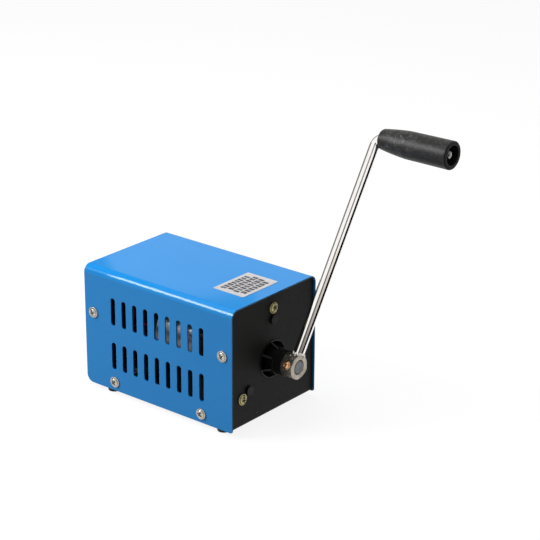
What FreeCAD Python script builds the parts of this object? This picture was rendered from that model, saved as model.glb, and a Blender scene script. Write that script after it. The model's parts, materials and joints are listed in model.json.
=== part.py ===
import FreeCAD, Part
import math
import os

from FreeCAD import Vector

# Hand crank generator: a folded sheet box with a planetary step-up gearbox, a DC
# machine and a small power board inside, and a chrome crank on its front face.
# Millimetres. X is the width, Y runs from the crank face (front, -Y) to the outlets
# (rear, +Y), Z is up. The origin lies on the table, under the middle of the box.

# ---------------------------------------------------------------- driving sizes

BODY_WIDTH = 88.0
COVER_TOP_GAP = 4.4
COVER_SHEET = 1.0
COVER_BEND = 5.5
COVER_REAR_CORNER = 5.5
COVER_FRONT_CORNER = 1.5

CHASSIS_SHEET = 1.2
CHASSIS_BEND = 2.4
CHASSIS_GAP = 0.3
END_RECESS = 1.5

FOOT_HEIGHT = 3.6
FOOT_RADIUS = 5.4
FOOT_TAPER = 1.0
FOOT_SIDE_INSET = 7.0
FOOT_FRONT_INSET = 13.0
FOOT_REAR_INSET = 19.5
FOOT_SCREW_RADIUS = 1.5
FOOT_SCREW_HEAD_RADIUS = 2.8
FOOT_SCREW_HEAD_HEIGHT = 1.2
FOOT_SCREW_LENGTH = 6.0

VENT_COUNT = 9
VENT_PITCH = 10.0
VENT_WIDTH = 4.0
VENT_LENGTH = 20.2
VENT_LOWER_START = 15.8
VENT_UPPER_START = 48.6

COVER_SCREW_HEAD_RADIUS = 4.0
COVER_SCREW_HEAD_HEIGHT = 2.2
COVER_SCREW_RADIUS = 1.9
COVER_SCREW_LENGTH = 6.0
END_SCREW_INSET = 8.1
END_SCREW_HEIGHT = 53.9
FLOOR_SCREW_INSET = 26.9
FLOOR_SCREW_HEIGHT = 6.6
END_TAB_DEPTH = 14.0
END_TAB_HEIGHT = 16.0
FLOOR_TAB_LENGTH = 16.0
FLOOR_TAB_HEIGHT = 12.0
SCREW_DOME_SHARE = 0.45
SCREW_CROWN_SHARE = 0.55
SCREW_SHOULDER_SHARE = 0.85
SCREW_SHOULDER_DROP = 0.4
SCREW_CLEARANCE = 0.1

LABEL_WIDTH = 36.5
LABEL_LENGTH = 26.4
LABEL_CORNER = 1.0
LABEL_THICKNESS = 0.2
LABEL_FRONT_INSET = 10.7
LABEL_OFFSET = -1.4

CASE_FLOOR_GAP = 2.4
SHAFT_RADIUS = 5.0
SHAFT_FLAT_DEPTH = 0.8
RUNNING_GAP = 0.06

NOSE_HOLE_GAP = 0.3
NOSE_RIM_RADIUS = 13.6
NOSE_RIM_WIDTH = 1.2
NOSE_RIM_PROUD = 0.3
NOSE_PROUD = 8.5
NOSE_ROOT_RADIUS = 9.4
NOSE_TIP_RADIUS = 8.9
NOSE_SHOULDER_OUT = 6.9
NOSE_RIB_COUNT = 7
NOSE_RIB_WIDTH = 1.4
NOSE_RIB_START = 150.0
NOSE_RIB_TOP_OUT = 6.6
NOSE_POCKET_DEPTH = 4.2
BUSH_RADIUS = 7.0
BUSH_LENGTH = 10.0
BUSH_RECESS = 0.6

RING_RIM = 5.0
CASE_WALL = 4.0
FLANGE_THICKNESS = 4.0
MOUNT_SCREW_OUT = 8.0
MOUNT_EAR_RADIUS = 5.5
MOUNT_EAR_DEPTH = 11.0
MOUNT_SCREW_RADIUS = 1.9
MOUNT_SCREW_LENGTH = 10.0
MOUNT_SCREW_HEAD_RADIUS = 4.1
MOUNT_SCREW_HEAD_HEIGHT = 2.4
PEG_SCREW_GAP = 0.8
PEG_RADIUS = 3.2
PEG_PROUD = 1.6
PEG_GAP = 0.15
MOUNT_ANGLES = (90.0, 210.0, 330.0)

BEARING_RADIUS = 13.0
BEARING_WIDTH = 8.0
BEARING_SPLIT_RADIUS = 7.4
BEARING_SHIELD_RECESS = 0.5
BEARING_RING_WIDTH = 1.6
BEARING_HUB_WALL = 2.5
CASE_RIB_WIDTH = 2.0

GEAR_MODULE = 0.8
PRESSURE_ANGLE = 25.0
ADDENDUM_FACTOR = 0.8
DEDENDUM_FACTOR = 1.05
BACKLASH = 0.09
SUN_TEETH = 12
PLANET_TEETH = 24
GEAR_WIDTH = 9.0
SUN_NECK_RADIUS = 3.8
CARRIER_THICKNESS = 3.5
CARRIER_RIM_GAP = 4.0
AXIAL_GAP = 0.8
BEARING_TO_CARRIER = 0.5
STAGE_END_GAP = 0.9
PLANET_ANGLES = (90.0, 210.0, 330.0)
CARRIER_NOTCH_TURN = 60.0
PLANET_PIN_RADIUS = 2.0
PLANET_HUB_RADIUS = 4.0
PLANET_RIM_RADIUS = 7.5
PLANET_WEB_RECESS = 1.0

CASE_EAR_ANGLES = (30.0, 150.0, 270.0)
CASE_EAR_OUT = 2.5
CASE_EAR_RADIUS = 4.0
CASE_BOLT_RADIUS = 1.5
CASE_BOLT_HEAD_RADIUS = 2.8
CASE_BOLT_HEAD_HEIGHT = 2.2
CASE_BOLT_GRIP = 8.0
MOTOR_PLATE_THICKNESS = 3.0

MOTOR_RADIUS = 21.0
MOTOR_CAN_WALL = 1.5
MOTOR_BOSS_RADIUS = 6.3
MOTOR_BOSS_LENGTH = 2.6
MOTOR_PILOT_GAP = 0.15
MOTOR_BUSH_RADIUS = 4.5
MOTOR_BUSH_LENGTH = 4.0
MOTOR_SHAFT_RADIUS = 2.5
MOTOR_SCREW_ANGLES = (0.0, 180.0)
MOTOR_SCREW_CIRCLE = 14.5
MOTOR_SCREW_RADIUS = 1.9
MOTOR_SCREW_HEAD_RADIUS = 3.2
MOTOR_SCREW_HEAD_HEIGHT = 1.8
MOTOR_SCREW_LENGTH = 4.5
MAGNET_THICKNESS = 3.6
MAGNET_LENGTH = 28.0
MAGNET_SPAN = 140.0
MAGNET_START = 5.5
MAGNET_END_GAP = 6.5
ARMATURE_AIR_GAP = 0.6
ARMATURE_LENGTH = 25.0
ARMATURE_SLOTS = 5
ARMATURE_SLOT_WIDTH = 4.4
ARMATURE_SLOT_MOUTH = 1.6
ARMATURE_HUB_RADIUS = 5.0
ARMATURE_TIP_THICKNESS = 2.0
WINDING_RADIUS = 12.4
WINDING_OVERHANG = 2.5
WINDING_SLOT_GAP = 0.2
WINDING_INNER_GAP = 1.0
COMMUTATOR_RADIUS = 5.2
COMMUTATOR_LENGTH = 6.0
COMMUTATOR_INSET = 1.0
END_CAP_LENGTH = 8.0
END_CAP_WALL = 2.4
END_CAP_FLOOR = 2.0
END_CAP_BOSS_RADIUS = 6.0
END_CAP_BOSS_LENGTH = 2.0
BRUSH_WIDTH = 3.0
BRUSH_HEIGHT = 4.0
BRUSH_LENGTH = 7.0
BRUSH_GAP = 0.05
BRUSH_BOX_WALL = 1.0
BRUSH_BOX_INSET = 1.5
TERMINAL_SPACING = 24.0
TERMINAL_THICKNESS = 0.8
TERMINAL_WIDTH = 4.8
TERMINAL_LENGTH = 8.0

BOARD_SIDE_GAP = 2.0
BOARD_LENGTH = 30.0
BOARD_THICKNESS = 1.6
BOARD_FRONT_GAP = 1.6
BOARD_REAR_GAP = 2.0
BOARD_CORNER_INSET = 4.0
STANDOFF_HEIGHT = 5.0
STANDOFF_RADIUS = 2.6
BOARD_SCREW_RADIUS = 1.4
BOARD_SCREW_HEAD_RADIUS = 2.6
BOARD_SCREW_HEAD_HEIGHT = 1.6
RECTIFIER_WIDTH = 15.0
RECTIFIER_DEPTH = 4.0
RECTIFIER_HEIGHT = 15.0
RECTIFIER_CENTRE = 4.0
RECTIFIER_REAR_INSET = 23.8
CAPACITOR_RADIUS = 6.3
CAPACITOR_HEIGHT = 18.0
CAPACITOR_CENTRE = -4.0
CAPACITOR_REAR_INSET = 10.8
CAPACITOR_GROOVE = 0.4
CAPACITOR_GROOVE_HEIGHT = 2.1
CAPACITOR_GROOVE_WIDTH = 1.2
CHOKE_RADIUS = 7.0
CHOKE_BORE = 3.0
CHOKE_HEIGHT = 6.0
CHOKE_ROUND = 1.6
CHOKE_CENTRE = -18.5
CHOKE_REAR_INSET = 9.8

USB_WIDTH = 13.2
USB_HEIGHT = 5.7
USB_DEPTH = 14.0
USB_WALL = 0.35
USB_CENTRE = 16.0
USB_PROUD = 0.4
USB_WINDOW_GAP = 0.3
USB_TONGUE_WIDTH = 11.1
USB_TONGUE_THICKNESS = 1.85
USB_TONGUE_LENGTH = 8.0
USB_TONGUE_TOP_GAP = 0.7
USB_BLOCK_DEPTH = 4.5

OUTLET_HEIGHT = 63.0
SOCKET_SPACING = 19.0
SOCKET_CENTRE = -18.0
SOCKET_FLANGE_RADIUS = 6.5
SOCKET_FLANGE_CHAMFER = 0.8
SOCKET_FLANGE_LENGTH = 5.0
SOCKET_BUSH_RADIUS = 4.4
SOCKET_BUSH_LENGTH = 9.0
SOCKET_HOLE_GAP = 0.15
SOCKET_BORE_RADIUS = 2.02
SOCKET_CONTACT_RADIUS = 3.0
SOCKET_CONTACT_LENGTH = 22.0
SOCKET_CONTACT_RECESS = 1.0
SOCKET_BORE_DEPTH = 17.0
SOCKET_NUT_FLATS = 11.4
SOCKET_NUT_THICKNESS = 3.0

SWITCH_CENTRE = 24.0
SWITCH_BEZEL_WIDTH = 15.0
SWITCH_BEZEL_HEIGHT = 21.0
SWITCH_BEZEL_THICKNESS = 2.0
SWITCH_BEZEL_LIP = 1.05
SWITCH_BEZEL_CORNER = 1.0
SWITCH_BODY_DEPTH = 12.0
SWITCH_BODY_WALL = 0.85
SWITCH_WELL_DEPTH = 7.5
SWITCH_CUT_GAP = 0.2
SWITCH_TAB_LENGTH = 7.0
SWITCH_TAB_WIDTH = 4.8
SWITCH_TAB_THICKNESS = 0.8
SWITCH_TAB_SPACING = 7.0
ROCKER_TILT = 9.0
ROCKER_SIDE_GAP = 0.25
ROCKER_PIVOT_DEPTH = 1.6
ROCKER_PIN_RADIUS = 1.2
ROCKER_PIN_WALL = 0.8
ROCKER_PIN_GAP = 0.08

CRANK_RADIUS = 163.0
CRANK_ANGLE = 57.6
ROD_RADIUS = 3.75
ROD_BEND = 6.0
ROD_SEAT_WALL = 1.1
ROD_SEAT_GAP = 0.05
BOSS_RADIUS = 8.35
BOSS_START_OUT = 12.0
BOSS_REAR_WALL = 1.25
BOSS_FRONT_WALL = 0.55
BOSS_BORE_GAP = 0.1
BOSS_CHAMFER = 0.4
SPACER_RADIUS = 8.8
SPACER_GAP = 0.3
BOSS_SCREW_ANGLES = (158.0, 338.0)
BOSS_SCREW_RADIUS = 1.9
BOSS_SCREW_HEAD_RADIUS = 2.8
BOSS_SCREW_HEAD_HEIGHT = 1.5

GRIP_ROD_GAP = 0.25
GRIP_LENGTH = 56.8
GRIP_NECK_WALL = 2.2
GRIP_BELLY_RADIUS = 9.55
GRIP_END_RADIUS = 9.8
GRIP_NECK_ROUND = 2.0
GRIP_SWELL = 0.25
GRIP_END_ROUND = 0.8
GRIP_BELLY_AT = 22.0
GRIP_RUNNING_GAP = 0.08
GRIP_MOUTH_FLARE = 1.2
GRIP_MOUTH_DEPTH = 4.0
GRIP_RECESS_RADIUS = 6.9
GRIP_RECESS_DEPTH = 9.0
GRIP_END_PLAY = 0.15
SPINDLE_STUB_RADIUS = 2.5
SPINDLE_STUB_LENGTH = 6.5
GRIP_WASHER_RADIUS = 5.5
GRIP_WASHER_THICKNESS = 1.0
GRIP_NUT_FLATS = 8.0
GRIP_NUT_THICKNESS = 4.0

LEAD_RADIUS = 1.0

# -------------------------------------------------------------- derived places

ROOT_TWO_SHARE = 1 - math.cos(math.radians(45))

RING_TEETH = SUN_TEETH + 2 * PLANET_TEETH
PLANET_CIRCLE = GEAR_MODULE * (SUN_TEETH + PLANET_TEETH) / 2
RING_PITCH_RADIUS = GEAR_MODULE * RING_TEETH / 2
CARRIER_RADIUS = RING_PITCH_RADIUS - CARRIER_RIM_GAP
CASE_RADIUS = RING_PITCH_RADIUS + RING_RIM
CASE_EAR_CIRCLE = CASE_RADIUS + CASE_EAR_OUT
MOUNT_SCREW_CIRCLE = CASE_RADIUS + MOUNT_SCREW_OUT

FRONT_CASE_DEPTH = BEARING_WIDTH + BEARING_TO_CARRIER + CARRIER_THICKNESS
STAGE_LENGTH = AXIAL_GAP + GEAR_WIDTH + AXIAL_GAP + CARRIER_THICKNESS
RING_GEAR_LENGTH = (
    STAGE_LENGTH + AXIAL_GAP + GEAR_WIDTH + AXIAL_GAP / 2 + MOTOR_SCREW_HEAD_HEIGHT + STAGE_END_GAP
)
MOTOR_CAN_LENGTH = MAGNET_START + MAGNET_LENGTH + MAGNET_END_GAP
DRIVE_LENGTH = (
    FLANGE_THICKNESS + FRONT_CASE_DEPTH + RING_GEAR_LENGTH
    + MOTOR_PLATE_THICKNESS + MOTOR_CAN_LENGTH + END_CAP_LENGTH
)
BODY_LENGTH = (
    2 * END_RECESS + 2 * CHASSIS_SHEET + DRIVE_LENGTH
    + BOARD_FRONT_GAP + BOARD_LENGTH + BOARD_REAR_GAP
)

BOTTOM = FOOT_HEIGHT
FLOOR_TOP = BOTTOM + CHASSIS_SHEET
SHAFT_HEIGHT = FLOOR_TOP + CASE_FLOOR_GAP + CASE_EAR_RADIUS + CASE_EAR_CIRCLE
TOP = SHAFT_HEIGHT + MOUNT_SCREW_CIRCLE + MOUNT_EAR_RADIUS + COVER_TOP_GAP + COVER_SHEET
COVER_HEIGHT = TOP - BOTTOM
FRONT = -BODY_LENGTH / 2
REAR = BODY_LENGTH / 2
SIDE = BODY_WIDTH / 2
CHASSIS_WIDTH = BODY_WIDTH - 2 * (COVER_SHEET + CHASSIS_GAP)
CHASSIS_SIDE = CHASSIS_WIDTH / 2
CHASSIS_TOP = TOP - COVER_SHEET - CHASSIS_GAP
CHASSIS_CORNER = COVER_BEND - COVER_SHEET - CHASSIS_GAP
PLATE_FACE = FRONT + END_RECESS
PLATE_BACK = PLATE_FACE + CHASSIS_SHEET
REAR_FACE = REAR - END_RECESS
REAR_BACK = REAR_FACE - CHASSIS_SHEET
FOOT_PLACES = [
    (side * (SIDE - FOOT_SIDE_INSET), y)
    for side in (-1, 1)
    for y in (FRONT + FOOT_FRONT_INSET, REAR - FOOT_REAR_INSET)
]
END_SCREW_PLACES = [
    (FRONT + END_SCREW_INSET, BOTTOM + END_SCREW_HEIGHT),
    (REAR - END_SCREW_INSET, BOTTOM + END_SCREW_HEIGHT),
]
FLOOR_SCREW_PLACES = [
    (FRONT + FLOOR_SCREW_INSET, BOTTOM + FLOOR_SCREW_HEIGHT),
    (REAR - FLOOR_SCREW_INSET, BOTTOM + FLOOR_SCREW_HEIGHT),
]

PEG_CIRCLE = MOUNT_SCREW_CIRCLE - MOUNT_SCREW_HEAD_RADIUS - PEG_SCREW_GAP - PEG_RADIUS
NOSE_TIP = FRONT - NOSE_PROUD
FLANGE_BACK = PLATE_BACK + FLANGE_THICKNESS
FRONT_CASE_END = FLANGE_BACK + FRONT_CASE_DEPTH
BEARING_END = FLANGE_BACK + BEARING_WIDTH
RING_GEAR_END = FRONT_CASE_END + RING_GEAR_LENGTH
MOTOR_FACE = RING_GEAR_END + MOTOR_PLATE_THICKNESS
MOTOR_CAN_END = MOTOR_FACE + MOTOR_CAN_LENGTH
END_CAP_END = MOTOR_CAN_END + END_CAP_LENGTH
TERMINAL_END = END_CAP_END + TERMINAL_LENGTH

CARRIER_1_START = BEARING_END + BEARING_TO_CARRIER
PLANETS_1_START = CARRIER_1_START + CARRIER_THICKNESS + AXIAL_GAP
CARRIER_2_START = PLANETS_1_START + GEAR_WIDTH + AXIAL_GAP
PLANETS_2_START = CARRIER_2_START + CARRIER_THICKNESS + AXIAL_GAP

BOARD_BASE = FLOOR_TOP + STANDOFF_HEIGHT
BOARD_TOP = BOARD_BASE + BOARD_THICKNESS
BOARD_WIDTH = BODY_WIDTH - 2 * (COVER_SCREW_LENGTH + BOARD_SIDE_GAP)
BOARD_REAR = REAR_BACK - BOARD_REAR_GAP
BOARD_FRONT = BOARD_REAR - BOARD_LENGTH
BOARD_SCREW_PLACES = [
    (side * (BOARD_WIDTH / 2 - BOARD_CORNER_INSET), y)
    for side in (-1, 1)
    for y in (BOARD_FRONT + BOARD_CORNER_INSET, BOARD_REAR - BOARD_CORNER_INSET)
]
SOCKET_PLACES = (
    SOCKET_CENTRE - SOCKET_SPACING / 2,
    SOCKET_CENTRE + SOCKET_SPACING / 2,
)
SOCKET_CONTACT_REAR = REAR_FACE + SOCKET_FLANGE_LENGTH - SOCKET_CONTACT_RECESS
SOCKET_CONTACT_FRONT = SOCKET_CONTACT_REAR - SOCKET_CONTACT_LENGTH
SWITCH_BODY_WIDTH = SWITCH_BEZEL_WIDTH - 2 * SWITCH_BEZEL_LIP
SWITCH_BODY_HEIGHT = SWITCH_BEZEL_HEIGHT - 2 * SWITCH_BEZEL_LIP
SWITCH_WELL_WIDTH = SWITCH_BODY_WIDTH - 2 * SWITCH_BODY_WALL
SWITCH_WELL_HEIGHT = SWITCH_BODY_HEIGHT - 2 * SWITCH_BODY_WALL
SWITCH_TAB_END = REAR_FACE - SWITCH_BODY_DEPTH - SWITCH_TAB_LENGTH

BOSS_START = FRONT - BOSS_START_OUT
BOSS_LENGTH = BOSS_REAR_WALL + 2 * ROD_RADIUS + BOSS_FRONT_WALL
BOSS_END = BOSS_START - BOSS_LENGTH
ROD_PLANE = BOSS_START - BOSS_REAR_WALL - ROD_RADIUS
ROD_SEAT_RADIUS = SHAFT_RADIUS + BOSS_BORE_GAP + ROD_SEAT_WALL
GRIP_BORE_RADIUS = ROD_RADIUS + GRIP_RUNNING_GAP
GRIP_MOUTH_RADIUS = GRIP_BORE_RADIUS + GRIP_MOUTH_FLARE
GRIP_NECK_RADIUS = GRIP_MOUTH_RADIUS + GRIP_NECK_WALL
GRIP_START = ROD_PLANE - ROD_RADIUS - GRIP_ROD_GAP
GRIP_END = GRIP_START - GRIP_LENGTH
GRIP_FLOOR = GRIP_END + GRIP_RECESS_DEPTH
AXIS_POINT = Vector(0, 0, SHAFT_HEIGHT)
CRANK_DIRECTION = Vector(
    math.cos(math.radians(CRANK_ANGLE)), 0, math.sin(math.radians(CRANK_ANGLE))
)
GRIP_CENTRE = AXIS_POINT + CRANK_DIRECTION * CRANK_RADIUS

X_AXIS = Vector(1, 0, 0)
Y_AXIS = Vector(0, 1, 0)
Z_AXIS = Vector(0, 0, 1)


# ------------------------------------------------------------------ form tools

def save(node, *solids):
    """Write one node, as a single solid or as a group of separate ones."""
    shape = solids[0] if len(solids) == 1 else Part.makeCompound(list(solids))
    if not shape.isValid():
        raise ValueError(node + " is not a valid shape")
    shape.exportStep("parts/" + node + ".step")
    print(node, len(shape.Solids), "solids", round(shape.Volume, 1), "mm3")


def fused(first, *others):
    """Join shapes into one solid and drop the seams between them."""
    return first.fuse(list(others)).removeSplitter()


def along_y(radius, start, end, x=0.0, z=SHAFT_HEIGHT):
    """A round bar along Y, on the shaft's axis unless a place is given."""
    return Part.makeCylinder(radius, end - start, Vector(x, start, z), Y_AXIS)


def along_z(radius, low, high, x, y):
    """A round bar along Z."""
    return Part.makeCylinder(radius, high - low, Vector(x, y, low), Z_AXIS)


def block(x_range, y_range, z_range):
    """A box between three pairs of limits."""
    corner = Vector(x_range[0], y_range[0], z_range[0])
    size = [pair[1] - pair[0] for pair in (x_range, y_range, z_range)]
    return Part.makeBox(size[0], size[1], size[2], corner)


def centred(middle, size):
    """The two limits of a length centred on a middle."""
    return (middle - size / 2, middle + size / 2)


def on_circle(angle, radius, y):
    """A point round the shaft's axis; the angle runs from +X towards +Z."""
    turn = math.radians(angle)
    return Vector(radius * math.cos(turn), y, SHAFT_HEIGHT + radius * math.sin(turn))


def bar_on_circle(angle, circle, radius, start, end):
    """A round bar parallel to the shaft, at an angle on a circle round it."""
    centre = on_circle(angle, circle, start)
    return Part.makeCylinder(radius, end - start, centre, Y_AXIS)


def turned(outline, base, axis):
    """Revolve (radius, distance) corners round an axis through a base point."""
    corners = [Vector(radius, 0, distance) for radius, distance in outline]
    face = Part.Face(Part.makePolygon(corners + corners[:1]))
    solid = face.revolve(Vector(0, 0, 0), Z_AXIS, 360)
    solid.Placement = FreeCAD.Placement(base, FreeCAD.Rotation(Z_AXIS, axis))
    return solid


def channel_face(width, depth, corner, place):
    """A rectangle with two round corners on its closed side, as place(u, v) puts it."""
    half = width / 2
    inset = corner * ROOT_TWO_SHARE
    edges = [
        Part.makeLine(place(-half, depth), place(-half, corner)),
        Part.Arc(
            place(-half, corner), place(inset - half, inset), place(corner - half, 0)
        ).toShape(),
        Part.makeLine(place(corner - half, 0), place(half - corner, 0)),
        Part.Arc(
            place(half - corner, 0), place(half - inset, inset), place(half, corner)
        ).toShape(),
        Part.makeLine(place(half, corner), place(half, depth)),
        Part.makeLine(place(half, depth), place(-half, depth)),
    ]
    return Part.Face(Part.Wire(edges))


def channel(width, depth, corner, sheet, place, length):
    """A U of folded sheet: the outer form less the same form one sheet in."""
    outer = channel_face(width, depth, corner, place).extrude(length)
    inside = channel_face(
        width - 2 * sheet, depth, corner - sheet, lambda u, v: place(u, v + sheet)
    )
    return outer.cut(inside.extrude(length))


def slot_cutter(y, low, width, length):
    """A vertical slot with round ends, cut right across the box."""
    radius = width / 2
    high = low + length
    start = -SIDE - COVER_SHEET
    edges = [
        Part.makeLine(
            Vector(start, y - radius, low + radius),
            Vector(start, y - radius, high - radius),
        ),
        Part.Arc(
            Vector(start, y - radius, high - radius),
            Vector(start, y, high),
            Vector(start, y + radius, high - radius),
        ).toShape(),
        Part.makeLine(Vector(start, y + radius, high - radius), Vector(start, y + radius, low + radius)),
        Part.Arc(
            Vector(start, y + radius, low + radius),
            Vector(start, y, low),
            Vector(start, y - radius, low + radius),
        ).toShape(),
    ]
    return Part.Face(Part.Wire(edges)).extrude(Vector(-2 * start, 0, 0))


def pan_screw(seat, direction, head_radius, head_height, shank_radius, length):
    """A pan head screw; its seat is under the head, the direction points to its tip."""
    dome = head_height * SCREW_DOME_SHARE
    outline = [
        (0, -head_height),
        (head_radius * SCREW_CROWN_SHARE, -head_height),
        (head_radius * SCREW_SHOULDER_SHARE, -head_height + dome * SCREW_SHOULDER_DROP),
        (head_radius, -head_height + dome),
        (head_radius, 0),
        (shank_radius, 0),
        (shank_radius, length),
        (0, length),
    ]
    return turned(outline, seat, direction)


def hexagon(flats, start, end, x, z, angle=0.0):
    """A hexagonal prism along Y."""
    radius = flats / math.sqrt(3)
    corners = []
    for step in range(6):
        turn = math.radians(60 * step + angle)
        corners.append(Vector(x + radius * math.cos(turn), start, z + radius * math.sin(turn)))
    face = Part.Face(Part.makePolygon(corners + corners[:1]))
    return face.extrude(Vector(0, end - start, 0))


def rounded_block(x_range, z_range, corner, start, end):
    """A block along Y whose four long edges are round."""
    solid = block(x_range, (start, end), z_range)
    edges = [edge for edge in solid.Edges if abs(edge.tangentAt(edge.FirstParameter).y) > 0.9]
    return solid.makeFillet(corner, edges)


# ------------------------------------------------------------------- the gears

def involute(angle):
    return math.tan(angle) - angle


def gear_face(teeth, low_radius, high_radius, widening, centre, turn):
    """A toothed outline with involute flanks; a widening of its teeth may be negative."""
    pitch_radius = GEAR_MODULE * teeth / 2
    base_radius = pitch_radius * math.cos(math.radians(PRESSURE_ANGLE))
    half_at_pitch = (math.pi * GEAR_MODULE / 2 + widening) / (2 * pitch_radius)
    shift = half_at_pitch + involute(math.radians(PRESSURE_ANGLE))

    def half_angle(radius):
        return shift - involute(math.acos(min(1.0, base_radius / radius)))

    flank = [(radius, half_angle(radius)) for radius in (low_radius, pitch_radius, high_radius)]
    corners = []
    for tooth in range(teeth):
        middle = math.radians(turn) + 2 * math.pi * tooth / teeth
        for radius, half in flank:
            corners.append((radius, middle - half))
        for radius, half in reversed(flank):
            corners.append((radius, middle + half))
    points = [centre + Vector(r * math.cos(a), 0, r * math.sin(a)) for r, a in corners]
    return Part.Face(Part.makePolygon(points + points[:1]))


def outer_gear(teeth, centre, turn, width):
    """An external spur gear, thinned by its share of the backlash."""
    pitch_radius = GEAR_MODULE * teeth / 2
    low = pitch_radius - DEDENDUM_FACTOR * GEAR_MODULE
    high = pitch_radius + ADDENDUM_FACTOR * GEAR_MODULE
    return gear_face(teeth, low, high, -BACKLASH / 2, centre, turn).extrude(Vector(0, width, 0))


def ring_gear_space(start, length):
    """What the internal teeth leave open."""
    low = RING_PITCH_RADIUS - ADDENDUM_FACTOR * GEAR_MODULE
    high = RING_PITCH_RADIUS + DEDENDUM_FACTOR * GEAR_MODULE
    face = gear_face(RING_TEETH, low, high, BACKLASH / 2, Vector(0, start, SHAFT_HEIGHT), 0)
    return face.extrude(Vector(0, length, 0))


def planet_gear(angle, start):
    """A planet with one tooth on the line to the ring gear, and a web between rim and hub."""
    centre = on_circle(angle, PLANET_CIRCLE, start)
    gear = outer_gear(PLANET_TEETH, centre, angle, GEAR_WIDTH)
    pocket_profile = [
        (PLANET_HUB_RADIUS, 0),
        (PLANET_RIM_RADIUS, 0),
        (PLANET_RIM_RADIUS, PLANET_WEB_RECESS),
        (PLANET_HUB_RADIUS, PLANET_WEB_RECESS),
    ]
    front_pocket = turned(pocket_profile, centre, Y_AXIS)
    rear_pocket = turned(pocket_profile, centre + Y_AXIS * GEAR_WIDTH, Y_AXIS * -1)
    bore = Part.makeCylinder(PLANET_PIN_RADIUS + RUNNING_GAP, GEAR_WIDTH, centre, Y_AXIS)
    return gear.cut([front_pocket, rear_pocket, bore])


def sun_gear(start, bore_radius):
    """A sun gear with a tooth gap on each line to a planet."""
    half_pitch = 180.0 / SUN_TEETH
    gear = outer_gear(SUN_TEETH, Vector(0, start, SHAFT_HEIGHT), half_pitch, GEAR_WIDTH)
    if bore_radius > 0:
        gear = gear.cut(along_y(bore_radius, start, start + GEAR_WIDTH))
    return gear


def first_sun_gear():
    """The first stage's sun gear, with a short neck that joins it to the second carrier."""
    end = PLANETS_1_START + GEAR_WIDTH
    return fused(sun_gear(PLANETS_1_START, 0), along_y(SUN_NECK_RADIUS, end, CARRIER_2_START))


def carrier(start, bore_radius):
    """A carrier plate with its three planet pins, and flats cut between the pins."""
    plate = along_y(CARRIER_RADIUS, start, start + CARRIER_THICKNESS)
    notches = [
        bar_on_circle(angle + CARRIER_NOTCH_TURN, CARRIER_RADIUS + PLANET_CIRCLE / 2, PLANET_CIRCLE,
                      start, start + CARRIER_THICKNESS)
        for angle in PLANET_ANGLES
    ]
    pin_end = start + CARRIER_THICKNESS + AXIAL_GAP + GEAR_WIDTH + AXIAL_GAP / 2
    pins = [
        bar_on_circle(angle, PLANET_CIRCLE, PLANET_PIN_RADIUS, start, pin_end)
        for angle in PLANET_ANGLES
    ]
    body = fused(plate.cut(notches), *pins)
    if bore_radius > 0:
        body = body.cut(along_y(bore_radius, start, start + CARRIER_THICKNESS))
    return body


# -------------------------------------------------------------------- the box

def top_cover():
    """The blue cover: an inverted U with two rows of vents in each side."""
    shell = channel(
        BODY_WIDTH, COVER_HEIGHT, COVER_BEND, COVER_SHEET,
        lambda u, v: Vector(u, FRONT, TOP - v), Vector(0, BODY_LENGTH, 0),
    )
    shell = shell.common(cover_side_outline())
    cutters = []
    for step in range(VENT_COUNT):
        y = (step - (VENT_COUNT - 1) / 2) * VENT_PITCH
        for start in (VENT_LOWER_START, VENT_UPPER_START):
            cutters.append(slot_cutter(y, BOTTOM + start, VENT_WIDTH, VENT_LENGTH))
    hole = COVER_SCREW_RADIUS + SCREW_CLEARANCE
    for y, z in END_SCREW_PLACES + FLOOR_SCREW_PLACES:
        start = Vector(-SIDE - COVER_SHEET, y, z)
        cutters.append(Part.makeCylinder(hole, BODY_WIDTH + 2 * COVER_SHEET, start, X_AXIS))
    return shell.cut(cutters)


def cover_side_outline():
    """The cover's side view: square at the top, with rounded lower corners."""
    rear, front = COVER_REAR_CORNER, COVER_FRONT_CORNER
    diagonal = ROOT_TWO_SHARE
    x = -SIDE
    edges = [
        Part.makeLine(Vector(x, FRONT, TOP), Vector(x, REAR, TOP)),
        Part.makeLine(Vector(x, REAR, TOP), Vector(x, REAR, BOTTOM + rear)),
        Part.Arc(
            Vector(x, REAR, BOTTOM + rear),
            Vector(x, REAR - rear * diagonal, BOTTOM + rear * diagonal),
            Vector(x, REAR - rear, BOTTOM),
        ).toShape(),
        Part.makeLine(Vector(x, REAR - rear, BOTTOM), Vector(x, FRONT + front, BOTTOM)),
        Part.Arc(
            Vector(x, FRONT + front, BOTTOM),
            Vector(x, FRONT + front * diagonal, BOTTOM + front * diagonal),
            Vector(x, FRONT, BOTTOM + front),
        ).toShape(),
        Part.makeLine(Vector(x, FRONT, BOTTOM + front), Vector(x, FRONT, TOP)),
    ]
    return Part.Face(Part.Wire(edges)).extrude(Vector(BODY_WIDTH, 0, 0))


def base_chassis():
    """The black chassis: front plate, floor and rear plate in one bent sheet, with screw tabs."""
    length = REAR_FACE - PLATE_FACE
    sheet = channel(
        length, CHASSIS_TOP - BOTTOM, CHASSIS_BEND, CHASSIS_SHEET,
        lambda u, v: Vector(-CHASSIS_SIDE, u, BOTTOM + v), Vector(CHASSIS_WIDTH, 0, 0),
    )
    outline = channel_face(
        CHASSIS_WIDTH, CHASSIS_TOP - BOTTOM, CHASSIS_CORNER,
        lambda u, v: Vector(u, FRONT, CHASSIS_TOP - v),
    )
    body = sheet.common(outline.extrude(Vector(0, BODY_LENGTH, 0)))
    body = fused(body, *chassis_tabs())
    return body.cut(chassis_cutters())


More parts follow.
